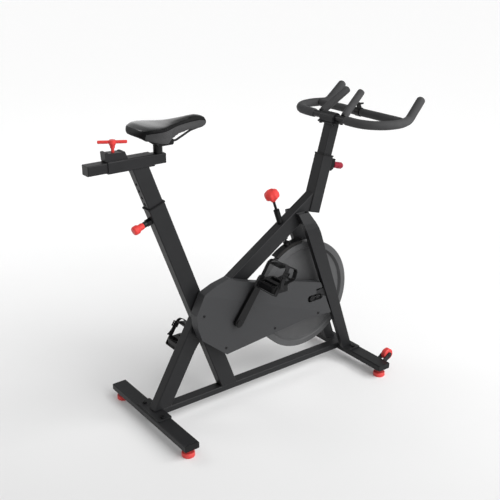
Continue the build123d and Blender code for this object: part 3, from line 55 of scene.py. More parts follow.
# ---------------------------------------------------------------- material building
NOISE_SPAN = (0.3, 0.7)                     # where most of a noise's values lie
SPECK_SPAN = (0.2, 0.8)                     # wider, for a gentler change
RANGE_INPUTS = ("From Min", "From Max", "To Min", "To Max")
MIX_FACTOR, MIX_A, MIX_B, MIX_RESULT = 0, 6, 7, 2       # a mix node's colour sockets
EDGE_SPAN = (0.995, 0.9)                    # cosine between the true and the rounded normal: flat, sharp


def rgba(colour):
    """A plain colour gets its alpha; a socket passes through."""
    return colour if hasattr(colour, "links") else (*colour, 1.0)


class Tree:
    """Small helper round one material's node tree."""

    def __init__(self, name):
        self.material = bpy.data.materials.new(name)
        self.material.use_nodes = True
        self.tree = self.material.node_tree
        self.tree.nodes.clear()
        self.shader = self.add("ShaderNodeBsdfPrincipled")
        out = self.add("ShaderNodeOutputMaterial")
        self.link(self.shader.outputs[0], out.inputs["Surface"])
        self.coords = self.add("ShaderNodeTexCoord").outputs["Object"]

    def add(self, kind, **values):
        node = self.tree.nodes.new(kind)
        for key, value in values.items():
            setattr(node, key, value)
        return node

    def link(self, a, b):
        self.tree.links.new(a, b)

    def value(self, socket, value):
        if hasattr(value, "links"):
            self.link(value, socket)
        else:
            socket.default_value = value

    def scaled(self, scale):
        """Object coordinates scaled per axis."""
        node = self.add("ShaderNodeMapping")
        self.link(self.coords, node.inputs["Vector"])
        node.inputs["Scale"].default_value = scale
        return node.outputs["Vector"]

    def noise(self, scale, detail=3.0, rough=0.55, vector=None):
        node = self.add("ShaderNodeTexNoise")
        self.link(vector or self.coords, node.inputs["Vector"])
        node.inputs["Scale"].default_value = scale
        node.inputs["Detail"].default_value = detail
        node.inputs["Roughness"].default_value = rough
        return node.outputs["Fac"]

    def cells(self, scale, feature="F1"):
        node = self.add("ShaderNodeTexVoronoi", feature=feature)
        self.link(self.coords, node.inputs["Vector"])
        node.inputs["Scale"].default_value = scale
        return node.outputs["Distance"]

    def math(self, operation, a, b=0.0, clamp=False):
        node = self.add("ShaderNodeMath", operation=operation, use_clamp=clamp)
        self.value(node.inputs[0], a)
        self.value(node.inputs[1], b)
        return node.outputs[0]

    def span(self, value, low, high, to_low=0.0, to_high=1.0):
        """Maps low..high to to_low..to_high, and holds the ends."""
        node = self.add("ShaderNodeMapRange")
        self.value(node.inputs["Value"], value)
        for key, number in zip(RANGE_INPUTS, (low, high, to_low, to_high)):
            node.inputs[key].default_value = number
        return node.outputs["Result"]

    def mix(self, factor, a, b):
        node = self.add("ShaderNodeMix", data_type="RGBA")
        self.value(node.inputs[MIX_FACTOR], factor)
        self.value(node.inputs[MIX_A], rgba(a))
        self.value(node.inputs[MIX_B], rgba(b))
        return node.outputs[MIX_RESULT]

    def edges(self, radius):
        """1 on sharp outside and inside edges, 0 on flat faces; and the rounded normal."""
        bevel = self.add("ShaderNodeBevel", samples=6)
        bevel.inputs["Radius"].default_value = radius
        plain = self.add("ShaderNodeNewGeometry").outputs["Normal"]
        dot = self.add("ShaderNodeVectorMath", operation="DOT_PRODUCT")
        self.link(bevel.outputs["Normal"], dot.inputs[0])
        self.link(plain, dot.inputs[1])
        return self.span(dot.outputs["Value"], *EDGE_SPAN), bevel.outputs["Normal"]

    def bump(self, height, strength, distance, normal=None):
        node = self.add("ShaderNodeBump")
        self.link(height, node.inputs["Height"])
        node.inputs["Strength"].default_value = strength
        node.inputs["Distance"].default_value = distance
        if normal is not None:
            self.link(normal, node.inputs["Normal"])
        self.link(node.outputs["Normal"], self.shader.inputs["Normal"])

    def finish(self, colour, roughness, **constants):
        self.value(self.shader.inputs["Base Color"], rgba(colour))
        self.value(self.shader.inputs["Roughness"], roughness)
        for key, number in constants.items():
            self.shader.inputs[key.replace("_", " ")].default_value = number
        return self.material


def shade(colour, factor):
    return tuple(min(1.0, c * factor) for c in colour)


SHEEN = 0.22                                # dielectric reflection of the dark coatings


def coated_metal(name, colour, rough, grain=900.0, edge=1.8, peel=0.12):
    """Powder coat: fine orange peel, faint cloudiness, and sharp edges painted lighter in patches, partly as
    polished wear and partly as a painted highlight.
    """
    t = Tree(name)
    cloud = t.noise(scale=9.0, detail=4.0)
    speck = t.noise(scale=grain, detail=2.0)
    edge_wear_and_highlight, rounded = t.edges(radius=1.2 * MM)
    patchy = t.math("MULTIPLY", edge_wear_and_highlight, t.span(speck, 0.35, 0.7), clamp=True)
    body = t.mix(t.span(cloud, *NOISE_SPAN), shade(colour, 0.9), shade(colour, 1.12))
    # sharp edges painted lighter in patches: partly wear, partly painted highlight
    body = t.mix(patchy, body, shade(colour, edge))
    gloss = t.math("ADD", t.span(cloud, *NOISE_SPAN, rough - 0.04, rough + 0.05),
                   t.span(speck, *SPECK_SPAN, -0.04, 0.04))
    t.bump(speck, strength=peel, distance=0.4 * MM, normal=rounded)
    return t.finish(body, gloss, IOR=1.5, Specular_IOR_Level=SHEEN)


def moulded(name, colour, rough, grain=1400.0, depth=0.25, edge=1.5):
    """Textured plastic: fine spark-eroded grain, with smoother edges that are also painted lighter, partly
    as wear and partly as a painted highlight.
    """
    t = Tree(name)
    speck = t.noise(scale=grain, detail=3.0, rough=0.7)
    cloud = t.noise(scale=14.0, detail=3.0)
    edge_wear_and_highlight, rounded = t.edges(radius=0.8 * MM)
    body = t.mix(t.span(speck, *NOISE_SPAN), shade(colour, 0.86), shade(colour, 1.12))
    # edges painted lighter: partly wear, partly painted highlight
    body = t.mix(t.math("MULTIPLY", edge_wear_and_highlight, 0.7), body, shade(colour, edge))
    gloss = t.math("ADD", t.span(cloud, *NOISE_SPAN, rough - 0.04, rough + 0.04),
                   t.math("MULTIPLY", edge_wear_and_highlight, -0.08))
    t.bump(speck, strength=depth, distance=0.3 * MM, normal=rounded)
    return t.finish(body, gloss, IOR=1.48, Specular_IOR_Level=SHEEN)


def machined(name, colour, rough):
    """Bare turned or ground steel with fine lines round the cross axis."""
    t = Tree(name)
    lines = t.noise(scale=60.0, detail=2.0, rough=0.5, vector=t.scaled((1.0, 40.0, 1.0)))
    speck = t.noise(scale=700.0, detail=2.0)
    rounded = t.edges(radius=0.6 * MM)[1]
    body = t.mix(t.span(lines, *NOISE_SPAN), shade(colour, 0.8), shade(colour, 1.1))
    gloss = t.math("ADD", t.span(lines, *NOISE_SPAN, rough - 0.05, rough + 0.08),
                   t.math("MULTIPLY", speck, 0.05))
    t.bump(lines, strength=0.1, distance=0.2 * MM, normal=rounded)
    return t.finish(body, gloss, Metallic=1.0)


def rubber(name, colour, rough):
    """Matt rubber: fine bloom, and edges painted a little paler, partly as wear from handling and partly as
    a painted highlight.
    """
    t = Tree(name)
    speck = t.noise(scale=1800.0, detail=2.0, rough=0.6)
    cloud = t.noise(scale=30.0, detail=3.0)
    edge_wear_and_highlight, rounded = t.edges(radius=1.0 * MM)
    body = t.mix(t.span(cloud, *NOISE_SPAN), shade(colour, 0.9), shade(colour, 1.08))
    # edges painted paler: partly wear from handling, partly painted highlight
    body = t.mix(t.math("MULTIPLY", edge_wear_and_highlight, 0.5), body, shade(colour, 1.35))
    t.bump(speck, strength=0.3, distance=0.3 * MM, normal=rounded)
    return t.finish(body, t.span(speck, *SPECK_SPAN, rough - 0.06, rough + 0.06))


def foam(name, colour):
    """Closed-cell grip foam: tiny open pits, painted darker as painted shade, and a dull surface."""
    t = Tree(name)
    pits = t.cells(scale=750.0)
    cloud = t.noise(scale=40.0, detail=3.0)
    # pits painted darker: painted shade in the recesses
    body = t.mix(t.span(pits, 0.0, 0.6), shade(colour, 0.75), shade(colour, 1.25))
    body = t.mix(t.span(cloud, 0.35, 0.65, 0.0, 0.5), body, shade(colour, 1.15))
    t.bump(pits, strength=0.5, distance=0.6 * MM)
    return t.finish(body, t.span(cloud, *NOISE_SPAN, 0.72, 0.86), Specular_IOR_Level=0.35)


def leather(name, colour, rough, grain=420.0, depth=0.35, coat=0.0, level=0.3):
    """Synthetic cover: pebbled cells broken up by finer creases; the grooves between the pebbles are painted
    darker, as painted shade.
    """
    t = Tree(name)
    pebble = t.cells(scale=grain, feature="DISTANCE_TO_EDGE")
    crease = t.noise(scale=grain * 0.6, detail=4.0, rough=0.65)
    height = t.math("ADD", t.span(pebble, 0.0, 0.12), t.math("MULTIPLY", crease, 0.6))
    # darker along the low grooves between pebbles: painted shade
    body = t.mix(t.span(pebble, 0.0, 0.08), shade(colour, 0.7), shade(colour, 1.1))
    t.bump(height, strength=depth, distance=0.3 * MM)
    return t.finish(body, t.span(crease, *NOISE_SPAN, rough - 0.05, rough + 0.07),
                    Coat_Weight=coat, Coat_Roughness=0.13, Specular_IOR_Level=level)


def webbing(name, colour):
    """Narrow woven tape: ribs that follow each other in height, and a fine twill; the colour follows that
    height, as painted shade in the grooves and painted highlight on the crests.
    """
    t = Tree(name)
    wave = t.add("ShaderNodeTexWave", wave_type="BANDS", bands_direction="Z")
    t.link(t.coords, wave.inputs["Vector"])
    wave.inputs["Scale"].default_value = 160.0
    wave.inputs["Distortion"].default_value = 1.0
    twill = t.noise(scale=1400.0, detail=2.0, rough=0.5)
    height = t.math("ADD", wave.outputs["Fac"], t.math("MULTIPLY", twill, 0.5))
    # colour follows the relief: painted shade in the grooves, painted highlight on the crests
    body = t.mix(t.span(height, 0.3, 1.3), shade(colour, 0.6), shade(colour, 1.6))
    t.bump(height, strength=0.5, distance=0.5 * MM)
    return t.finish(body, t.span(twill, *NOISE_SPAN, 0.7, 0.9), Sheen_Weight=0.05, Specular_IOR_Level=0.2)


# ---------------------------------------------------------------- colours and materials
CHARCOAL = (0.0112, 0.0114, 0.0122)
BAR_BLACK = (0.011, 0.011, 0.012)
BLACK = (0.0055, 0.0055, 0.006)
GUARD_GREY = (0.035, 0.0355, 0.037)
WHEEL_GREY = (0.07, 0.0705, 0.072)
STEEL_GREY = (0.52, 0.52, 0.54)
ALLOY_GREY = (0.62, 0.62, 0.63)
CORAL = (0.62, 0.045, 0.041)
CRIMSON = (0.25, 0.01, 0.026)
BELT_BLACK = (0.02, 0.02, 0.02)
SOFT_GREY = (0.034, 0.034, 0.035)           # grip foam and the matt side of the saddle
FELT_BLACK = (0.014, 0.013, 0.012)
CROWN_BLACK = (0.004, 0.004, 0.0044)
# a darker copy of the crown's black: painted shade on the shoulder's fold and the rear end
SHADED_SHOULDER_BLACK = (0.0022, 0.0022, 0.0024)
PIPING_BLACK = (0.003, 0.003, 0.003)

paint = coated_metal("frame_powder_coat", CHARCOAL, 0.42)
bar_paint = coated_metal("bar_satin_coat", BAR_BLACK, 0.36)
# its edges are painted over three times lighter: partly wear, partly painted highlight
black_oxide = coated_metal("black_oxide_steel", shade(BLACK, 0.6), 0.3, grain=600.0, edge=3.2)
iron = coated_metal("flywheel_satin_paint", WHEEL_GREY, 0.38, grain=500.0, peel=0.2)
steel = machined("ground_steel", STEEL_GREY, 0.3)
alloy = machined("turned_alloy", ALLOY_GREY, 0.34)
guard_plastic = moulded("guard_textured_plastic", GUARD_GREY, 0.46)
black_plastic = moulded("black_moulded_plastic", shade(BLACK, 0.7), 0.36)
red_plastic = moulded("coral_moulded_plastic", CORAL, 0.38, grain=1100.0, depth=0.15, edge=1.15)
crimson = moulded("crimson_pin_knob", CRIMSON, 0.36, grain=1100.0, depth=0.12, edge=1.2)
red_rubber = rubber("coral_rubber", shade(CORAL, 0.93), 0.55)
belt_rubber = rubber("belt_rubber", BELT_BLACK, 0.6)
grip_foam = foam("grip_foam", SOFT_GREY)
felt = leather("brake_felt", FELT_BLACK, 0.85, grain=900.0)
strap_tape = webbing("strap_webbing", BLACK)
cover_top = leather("saddle_top_cover", CROWN_BLACK, 0.3, grain=520.0, depth=0.04, coat=1.0)
# the top's black cover again, darker and less reflective: painted shade on the shoulder's fold and the rear
# end
shaded_shoulder_cover = leather("saddle_shoulder_painted_shade", SHADED_SHOULDER_BLACK, 0.5, grain=520.0, depth=0.1, level=0.12)
cover_side = leather("saddle_side_cover", SOFT_GREY, 0.6, grain=380.0)
seam_black = leather("saddle_piping", PIPING_BLACK, 0.7, grain=900.0, depth=0.3, level=0.1)

by_slot = {
    "frame_paint": paint, "steel": steel, "black_steel": black_oxide, "flywheel_iron": iron,
    "pulley_alloy": alloy, "belt_rubber": belt_rubber, "guard_plastic": guard_plastic,
    "black_plastic": black_plastic, "red_plastic": red_plastic, "red_rubber": red_rubber,
    "strap_webbing": strap_tape, "grip_foam": grip_foam, "saddle_cover": cover_side, "brake_felt": felt,
}
# nodes whose finish differs from the rest of their slot
special = {
    bar_paint: ("handlebar_tube", "handlebar_clamp", "slider_sleeve", "seat_slider"),
    black_oxide: ("brake_rod", "brake_sleeve", "crank_arm_left", "crank_arm_right", "flywheel_axle"),
    crimson: ("head_pin_knob",),
}
slot_of = {entry["node"]: entry["material_slot"] for entry in frame["record"]["subparts"]}
for name, node in nodes.items():
    node.data.materials.clear()
    node.data.materials.append(by_slot[slot_of[name]])
for material, names in special.items():
    for name in names:
        nodes[name].data.materials[0] = material


# ---------------------------------------------------------------- mesh building
def mm(*xyz):
    return Vector(xyz) * MM


def placed(name, data):
    """New object in the scene's own collection."""
    obj = bpy.data.objects.new(name, data)
    bpy.context.scene.collection.objects.link(obj)
    return obj


def make_object(name, bm, material, body, smooth=math.radians(40), weld=1e-5):
    """Turns a bmesh into a smooth-shaded piece that rides on a body."""
    bmesh.ops.remove_doubles(bm, verts=bm.verts, dist=weld)
    bmesh.ops.recalc_face_normals(bm, faces=bm.faces)
    mesh = bpy.data.meshes.new(name)
    bm.to_mesh(mesh)
    bm.free()
    mesh.materials.append(material)
    for polygon in mesh.polygons:
        polygon.use_smooth = True
    mesh.set_sharp_from_angle(angle=smooth)
    obj = placed(name, mesh)
    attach(obj, body)
    return obj


def apply_modifiers(obj):
    dg = bpy.context.evaluated_depsgraph_get()
    mesh = bpy.data.meshes.new_from_object(obj.evaluated_get(dg), depsgraph=dg)
    obj.modifiers.clear()
    old = obj.data
    obj.data = mesh
    bpy.data.meshes.remove(old)


def bevelled(obj, width):
    """Rounds the sharp edges and applies the change."""
    bevel = obj.modifiers.new("bevel", "BEVEL")
    bevel.width = width
    bevel.segments = 3
    bevel.limit_method = "ANGLE"
    bevel.angle_limit = math.radians(35)
    bevel.harden_normals = False
    apply_modifiers(obj)


NEARLY_PARALLEL = 0.1       # sine of the angle under which two directions give no good cross product


def crosswise(direction, choice, fallback):
    """Unit vector square to a direction, from the first axis that isn't nearly parallel to it."""
    side = direction.cross(choice)
    if side.length < NEARLY_PARALLEL:
        side = direction.cross(fallback)
    return side.normalized()


def spline(points, steps=12):
    """Points along a smooth Catmull-Rom curve through the given points."""
    padded = [points[0] * 2 - points[1], *points, points[-1] * 2 - points[-2]]
    out = []
    for i in range(1, len(padded) - 2):
        a, b, c, d = padded[i - 1:i + 3]
        for k in range(steps):
            t = k / steps
            out.append(0.5 * ((2 * b) + (c - a) * t + (2 * a - 5 * b + 4 * c - d) * t * t
                              + (3 * b - a - 3 * c + d) * t ** 3))
    out.append(points[-1].copy())
    return out


def rounded_path(corners, radii, step=0.16):
    """Polyline with its inside corners turned into arcs, with a point every `step` radians."""
    out = [corners[0]]
    for a, b, c, radius in zip(corners, corners[1:], corners[2:], radii):
        u, v = (a - b).normalized(), (c - b).normalized()
        turn = math.pi - u.angle(v)
        reach = radius * math.tan(turn / 2)
        start, end = b + u * reach, b + v * reach
        middle = b + (u + v).normalized() * (radius / math.cos(turn / 2))
        count = max(4, int(turn / step))
        first = start - middle
        axis = first.cross(end - middle).normalized()
        for k in range(count + 1):
            out.append(middle + Matrix.Rotation(turn * k / count, 3, axis) @ first)
    out.append(corners[-1])
    return out


def subdivided(path, step):
    out = [path[0]]
    for a, b in zip(path, path[1:]):
        count = max(1, int((b - a).length / step))
        out += [a.lerp(b, (k + 1) / count) for k in range(count)]
    return out


def frames_along(path):
    """Rotation-minimising frames: (point, side, up) at each point of the path."""
    tangents = []
    for i in range(len(path)):
        a, b = path[max(i - 1, 0)], path[min(i + 1, len(path) - 1)]
        tangents.append((b - a).normalized())
    side = crosswise(tangents[0], Z, Y)
    out = []
    for i, (p, t) in enumerate(zip(path, tangents)):
        if i:
            side = tangents[i - 1].rotation_difference(t) @ side
            side = (side - t * side.dot(t)).normalized()
        out.append((p, side, t.cross(side)))
    return out


def bridge(bm, lower, upper):
    """Quads between two closed rings with the same number of points."""
    for j in range(len(lower)):
        n = (j + 1) % len(lower)
        bm.faces.new((lower[j], lower[n], upper[n], upper[j]))


def cap_both(bm, rings):
    bm.faces.new(list(reversed(rings[0])))
    bm.faces.new(rings[-1])


def swept(bm, path, section, scale=None):
    """Sweeps a closed 2-D section (side, up) along the path; scale(i) resizes it at each point."""
    rings = []
    for i, (p, side, up) in enumerate(frames_along(path)):
        k = scale(i) if scale else 1.0
        rings.append([bm.verts.new(p + side * (x * k) + up * (y * k)) for x, y in section])
    for lower, upper in zip(rings, rings[1:]):
        bridge(bm, lower, upper)
    cap_both(bm, rings)


def circle(radius, count):
    angles = [2 * math.pi * k / count for k in range(count)]
    return [(radius * math.cos(a), radius * math.sin(a)) for a in angles]


def turned(bm, origin, axis, profile, count, lobes, depth):
    """Turned form, open at its start; profile is [(distance along axis, radius)] and ends on the axis.

    The lobes cut `depth` into the widest part, and less into the narrow ones."""
    side = crosswise(axis, Y, X)
    up = axis.cross(side)
    widest = max(r for _, r in profile)
    rings = []
    for s, r in profile[:-1]:
        ring = []
        for k in range(count):
            a = 2 * math.pi * k / count
            cut = depth * (0.5 - 0.5 * math.cos(lobes * a)) * (r / widest) ** 2
            out = side * ((r - cut) * math.cos(a)) + up * ((r - cut) * math.sin(a))
            ring.append(bm.verts.new(origin + axis * s + out))
        rings.append(ring)
    for lower, upper in zip(rings, rings[1:]):
        bridge(bm, lower, upper)
    tip = bm.verts.new(origin + axis * profile[-1][0])
    for k in range(count):
        bm.faces.new((rings[-1][k], rings[-1][(k + 1) % count], tip))


BLOCK_FACES = ((0, 1, 3, 2), (4, 6, 7, 5), (0, 4, 5, 1), (2, 3, 7, 6), (0, 2, 6, 4), (1, 5, 7, 3))


def block(bm, centre, axes, size):
    """Box given by its centre, three axes and three full sizes."""
    halves = [axis * (length / 2) for axis, length in zip(axes, size)]
    corners = []
    for i in (-1, 1):
        for j in (-1, 1):
            for k in (-1, 1):
                corners.append(bm.verts.new(centre + halves[0] * i + halves[1] * j + halves[2] * k))
    for face in BLOCK_FACES:
        bm.faces.new([corners[number] for number in face])


# ---------------------------------------------------------------- saddle
# Outlines as (x, value) pairs in millimetres, from the rear end to the nose.
SADDLE_WIDTH = [(-459, 20), (-456, 40), (-448, 57), (-436, 68), (-420, 75), (-404, 77.5), (-388, 76),
                (-372, 70), (-356, 60), (-338, 49), (-320, 40), (-300, 32.5), (-278, 27), (-255, 23.5),
                (-230, 21.5), (-208, 20), (-196, 17.5), (-188, 13), (-184, 8)]
SADDLE_TOP = [(-459, 1058), (-454, 1066), (-445, 1071), (-430, 1074), (-405, 1074.5), (-370, 1073),
              (-330, 1073.5), (-290, 1077), (-250, 1081), (-220, 1083), (-203, 1081), (-192, 1075),
              (-184, 1064)]
SADDLE_EDGE = [(-459, 1055), (-450, 1064), (-430, 1069), (-400, 1070), (-350, 1070), (-300, 1073),
               (-250, 1076), (-215, 1077), (-198, 1073), (-184, 1060)]
SADDLE_BOTTOM = [(-459, 1048), (-448, 1041), (-430, 1034), (-410, 1027), (-392, 1022), (-372, 1016),
                 (-354, 1014), (-342, 1021), (-326, 1029), (-300, 1036), (-265, 1040), (-225, 1039),
                 (-205, 1041), (-192, 1047), (-184, 1055)]
# x of each section, closer together where the outline bends
SADDLE_STATIONS = [-459, -457, -453, -447, -438, -428, -416, -404, -392, -380, -368, -357, -347, -337,
                   -326, -314, -300, -285, -270, -254, -238, -222, -209, -199, -192, -187, -184]
# (share of the half width, share of the drop from the crown to the edge)
CROWN_ROLL = ((0.3, 0.03), (0.58, 0.16), (0.8, 0.42), (0.93, 0.75))
EDGE_ROUND = 3.0            # the widest point lies this far below the edge
WALL_FALL = 8.0             # and the wall is upright down to here
WAIST_X = -330.0            # behind it the sides draw in more
NOSE_TUCK, TAIL_TUCK = 0.90, 0.84           # shares of the half width that the lip draws in to
WALL_SHARE, LEAN_SHARE = 0.995, 0.05        # the wall's share, and how much wider than the lip it leans
LIP_R = 2.0                 # rolled lower lip
LIP_CENTRE, LIP_WIDTH, CAVITY_STEP = 2.5, 7.0, 11.0     # steps inwards from the lip's outside
LIP_MIN, CAVITY_MIN, ROOF_SHARE = 0.45, 0.3, 0.12       # shares of the half width
ROOF_Z, CAVITY_DEPTH = 1046.0, 26.0


def track(points, x):
    """Value at x on the straight lines through (x, value) pairs, held at both ends."""
    if x <= points[0][0]:
        return points[0][1]
    for (x0, v0), (x1, v1) in zip(points, points[1:]):
        if x <= x1:
            t = (x - x0) / (x1 - x0)
            return v0 + (v1 - v0) * t
    return points[-1][1]


def saddle_section(x):
    """Loop of (y, z) round the saddle at x: over the left side, under it, and back on the right."""
    w, top = track(SADDLE_WIDTH, x), track(SADDLE_TOP, x)
    edge, bottom = track(SADDLE_EDGE, x), track(SADDLE_BOTTOM, x)
    tuck = NOSE_TUCK if x > WAIST_X else TAIL_TUCK
    roof = min(ROOF_Z, bottom + CAVITY_DEPTH)
    middle = (edge + bottom) / 2
    wall_foot = edge - WALL_FALL if edge - WALL_FALL > bottom + WALL_FALL else middle + 3
    lip = w * tuck
    half = [(0.0, top)]
    half += [(share * w, top - drop * (top - edge)) for share, drop in CROWN_ROLL]
    half += [(w, edge - EDGE_ROUND), (w * WALL_SHARE, wall_foot), (w * (tuck + LEAN_SHARE), middle - 2),
             (lip, bottom + LIP_R), (lip - LIP_CENTRE, bottom),
             (max(lip - LIP_WIDTH, w * LIP_MIN), bottom + LIP_R),
             (max(lip - CAVITY_STEP, w * CAVITY_MIN), (bottom + roof) / 2),
             (w * ROOF_SHARE, roof), (0.0, roof)]
    return half + [(-y, z) for y, z in reversed(half[1:-1])]


VOXEL = 4.5 * MM
CLOTH_FRAMES = 20
TOP_CAP, UNDER_CAP = 3.0 * MM, 0.4 * MM     # the most that the cover may move, on top and below
TOP_STARTS = 1058.0         # height above which the cover counts as its top


def inflate(pad):
    """Blows the cover up a little from inside, so that it sits tight over its foam."""
    rest = [v.co.copy() for v in pad.data.vertices]
    cloth = pad.modifiers.new("cloth", "CLOTH")
    cloth.settings.quality = 6
    cloth.settings.use_pressure = True
    cloth.settings.uniform_pressure_force = 4.0
    cloth.settings.tension_stiffness = 30.0
    cloth.settings.bending_stiffness = 4.0
    cloth.settings.effector_weights.gravity = 0.0
    cloth.point_cache.frame_start = 1
    cloth.point_cache.frame_end = CLOTH_FRAMES
    scene = bpy.context.scene
    for number in range(1, CLOTH_FRAMES + 1):
        scene.frame_set(number)
    apply_modifiers(pad)
    scene.frame_set(1)
    for vertex, start in zip(pad.data.vertices, rest):
        move = vertex.co - start
        most = TOP_CAP if start.z > TOP_STARTS * MM else UNDER_CAP
        if move.length > most:
            vertex.co = start + move * (most / move.length)


saddle = bmesh.new()
rings = [[saddle.verts.new(mm(x, y, z)) for y, z in saddle_section(x)] for x in SADDLE_STATIONS]
for lower, upper in zip(rings, rings[1:]):
    bridge(saddle, lower, upper)
saddle.faces.new(rings[0])
saddle.faces.new(list(reversed(rings[-1])))
saddle_pad = make_object("saddle_cover", saddle, cover_side, "saddle",
                         smooth=math.radians(180))

remesh = saddle_pad.modifiers.new("remesh", "REMESH")
remesh.mode = "VOXEL"
remesh.voxel_size = VOXEL
apply_modifiers(saddle_pad)
inflate(saddle_pad)
smooth = saddle_pad.modifiers.new("smooth", "SMOOTH")
smooth.factor = 0.5
smooth.iterations = 4
division = saddle_pad.modifiers.new("division", "SUBSURF")
division.levels = division.render_levels = 1
apply_modifiers(saddle_pad)

SHOULDER = 8.0              # the glossy cover folds this far below the top's crease; this fold gets a darker, duller copy of it, as painted shade
CROWN = 0.5                 # the polished crown starts this far above it
CROWN_FACING = 0.8          # where the surface looks up at least this much; the rest above the fold gets the darker, duller shoulder copy, as painted shade
DARKENED_REAR_X = -440.0           # the shoulder's darker, duller copy, with its painted shade, wraps the whole rear end behind here
DARKENED_REAR_Z = 1040.0           # down to here
COVERS = (cover_side, cover_top, shaded_shoulder_cover)
saddle_pad.data.materials.clear()
for cover in COVERS:
    saddle_pad.data.materials.append(cover)
for polygon in saddle_pad.data.polygons:
    polygon.use_smooth = True
    centre = polygon.center
    border = track(SADDLE_EDGE, centre.x / MM) * MM
    shoulder = centre.z > border - SHOULDER * MM
    darkened_rear = centre.x < DARKENED_REAR_X * MM and centre.z > DARKENED_REAR_Z * MM
    crown = centre.z > border + CROWN * MM and polygon.normal.z > CROWN_FACING
    # faces above the fold that don't look up, and the rear end, get the darker copy: painted shade
    cover = cover_top if crown else shaded_shoulder_cover if shoulder or darkened_rear else cover_side
    polygon.material_index = COVERS.index(cover)
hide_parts("saddle_pad")

# piping along the border between the glossy top and the matt side
SEAM_R, SEAM_SIDES = 0.9, 8
SEAM_LIFT = 0.1             # height of its centre over the cover
SEAM_X = range(-438, -188, 4)
SEAM_OUTSET = 1.01          # it is looked for from just outside the widest line
seam = bmesh.new()
for hand, _ in HANDS:
    path = []
    for x in SEAM_X:
        goal = mm(x, hand * track(SADDLE_WIDTH, x) * SEAM_OUTSET, track(SADDLE_EDGE, x) - SHOULDER)
        _, place, normal, _ = saddle_pad.closest_point_on_mesh(goal)
        path.append(place + normal * (SEAM_LIFT * MM))
    swept(seam, path, circle(SEAM_R * MM, SEAM_SIDES))
make_object("saddle_seam", seam, seam_black, "saddle")


# ---------------------------------------------------------------- handlebar foam
BAR_Z = 1000.0              # height of the bar's flat loop
REAR_X, CROSSBAR_X = 358.0, 501.0
GRIP_R, HORN_R, SLEEVE_R = 16.0, 13.8, 14.9
GRIP_START_Y = 82.0
LOOP_CORNERS = ((REAR_X, 280, BAR_Z), (538, 215, BAR_Z))
LOOP_RADII = (106 * MM, 38 * MM)
LOOP_TIP = (607, 206, 1067)
HORN_FOOT, HORN_TIP = (REAR_X, 62, BAR_Z), (473, 36, 1083)
HORN_START = 17.0           # the foam starts this far up the horn
TIP_COVER = 5.5             # and covers the tube's end by this much
SLEEVE_Y = (11.6, 213.0)
SLEEVE_END_Y = 211.0        # where the sleeve goes under the loop's foam
FOAM_SIDES = 36
FOAM_STEP = 7.0
RIM_LENGTH, RIM_SHARE = 6.0, 0.86           # the open end narrows to this share of the radius
TIP_SHARE, TIP_FLAT = 0.8, 0.004            # dome's length in radii, and the square of its end's share
WAVE_SHARE, WAVE_RATE = 0.006, 90.0         # waviness of the radius, and its radians per metre
RIM_RINGS = (0, 0.6, 1.6, 3.2, 5.0)
RIM_CLEAR, BEND_CLEAR = 6.0, 30.0
TIP_ANGLES = (0.15, 0.45, 0.75, 1.05, 1.3, 1.57)
TIP_CLEAR = 0.9             # the even rings keep this many radii off the tip


def foam_grip(name, path, radius, closed_tip=True):
    """Foam sleeve: softly rolled rim at its open end, domed closed tip, faint hand-formed waviness."""
    bm = bmesh.new()
    length = [0.0]
    for a, b in zip(path, path[1:]):
        length.append(length[-1] + (b - a).length)

    def swell(i):
        s, e = length[i], length[-1] - length[i]
        rim = tip = 1.0
        if s <= RIM_LENGTH * MM:
            rim = RIM_SHARE + (1 - RIM_SHARE) * math.sqrt(s / (RIM_LENGTH * MM))
        if closed_tip and e < radius * TIP_SHARE:
            tip = math.sqrt(max(TIP_FLAT, 1 - (1 - e / (radius * TIP_SHARE)) ** 2))
        return rim * tip * (1.0 + WAVE_SHARE * math.sin(s * WAVE_RATE))

    swept(bm, path, circle(radius, FOAM_SIDES), swell)
    piece = make_object(name, bm, grip_foam, "handlebar", smooth=math.radians(50))
    return piece


def grip_path(points, radius):
    """Even path with extra rings at both ends, so that the rim and the tip can round off."""
    path = subdivided(points, FOAM_STEP * MM)
    start, end = path[0], path[-1]
    ahead, astern = (path[1] - start).normalized(), (path[-2] - end).normalized()
    near = [start + ahead * (k * MM) for k in RIM_RINGS]
    far = [end + astern * (radius * TIP_SHARE * (1 - math.sin(k))) for k in TIP_ANGLES]
    middle = [p for p in path
              if (p - start).dot(ahead) > RIM_CLEAR * MM or (p - start).length > BEND_CLEAR * MM]
    middle = [p for p in middle if (p - end).length > radius * TIP_CLEAR]
    return near + middle + far


def on_side(hand, place):
    """Point of the left half, or its mirror image on the right."""
    x, y, z = place
    return mm(x, hand * y, z)


for hand, name in HANDS:
    corners = [on_side(hand, place)
               for place in ((REAR_X, GRIP_START_Y, BAR_Z), *LOOP_CORNERS, LOOP_TIP)]
    corners[-1] += (corners[-1] - corners[-2]).normalized() * (TIP_COVER * MM)
    path = grip_path(rounded_path(corners, LOOP_RADII), GRIP_R * MM)
    foam_grip(f"loop_grip_{name}", path, GRIP_R * MM)
    foot, end = on_side(hand, HORN_FOOT), on_side(hand, HORN_TIP)
    unit = (end - foot).normalized()
    path = grip_path([foot + unit * (HORN_START * MM), end + unit * (TIP_COVER * MM)], HORN_R * MM)
    foam_grip(f"inner_grip_{name}", path, HORN_R * MM)
    sleeve = grip_path([on_side(hand, (CROSSBAR_X, y, BAR_Z)) for y in SLEEVE_Y], SLEEVE_R * MM)
    sleeve = [p for p in sleeve if abs(p.y) < SLEEVE_END_Y * MM]
    foam_grip(f"crossbar_sleeve_{name}", sleeve, SLEEVE_R * MM, closed_tip=False)
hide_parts("handlebar_grips")


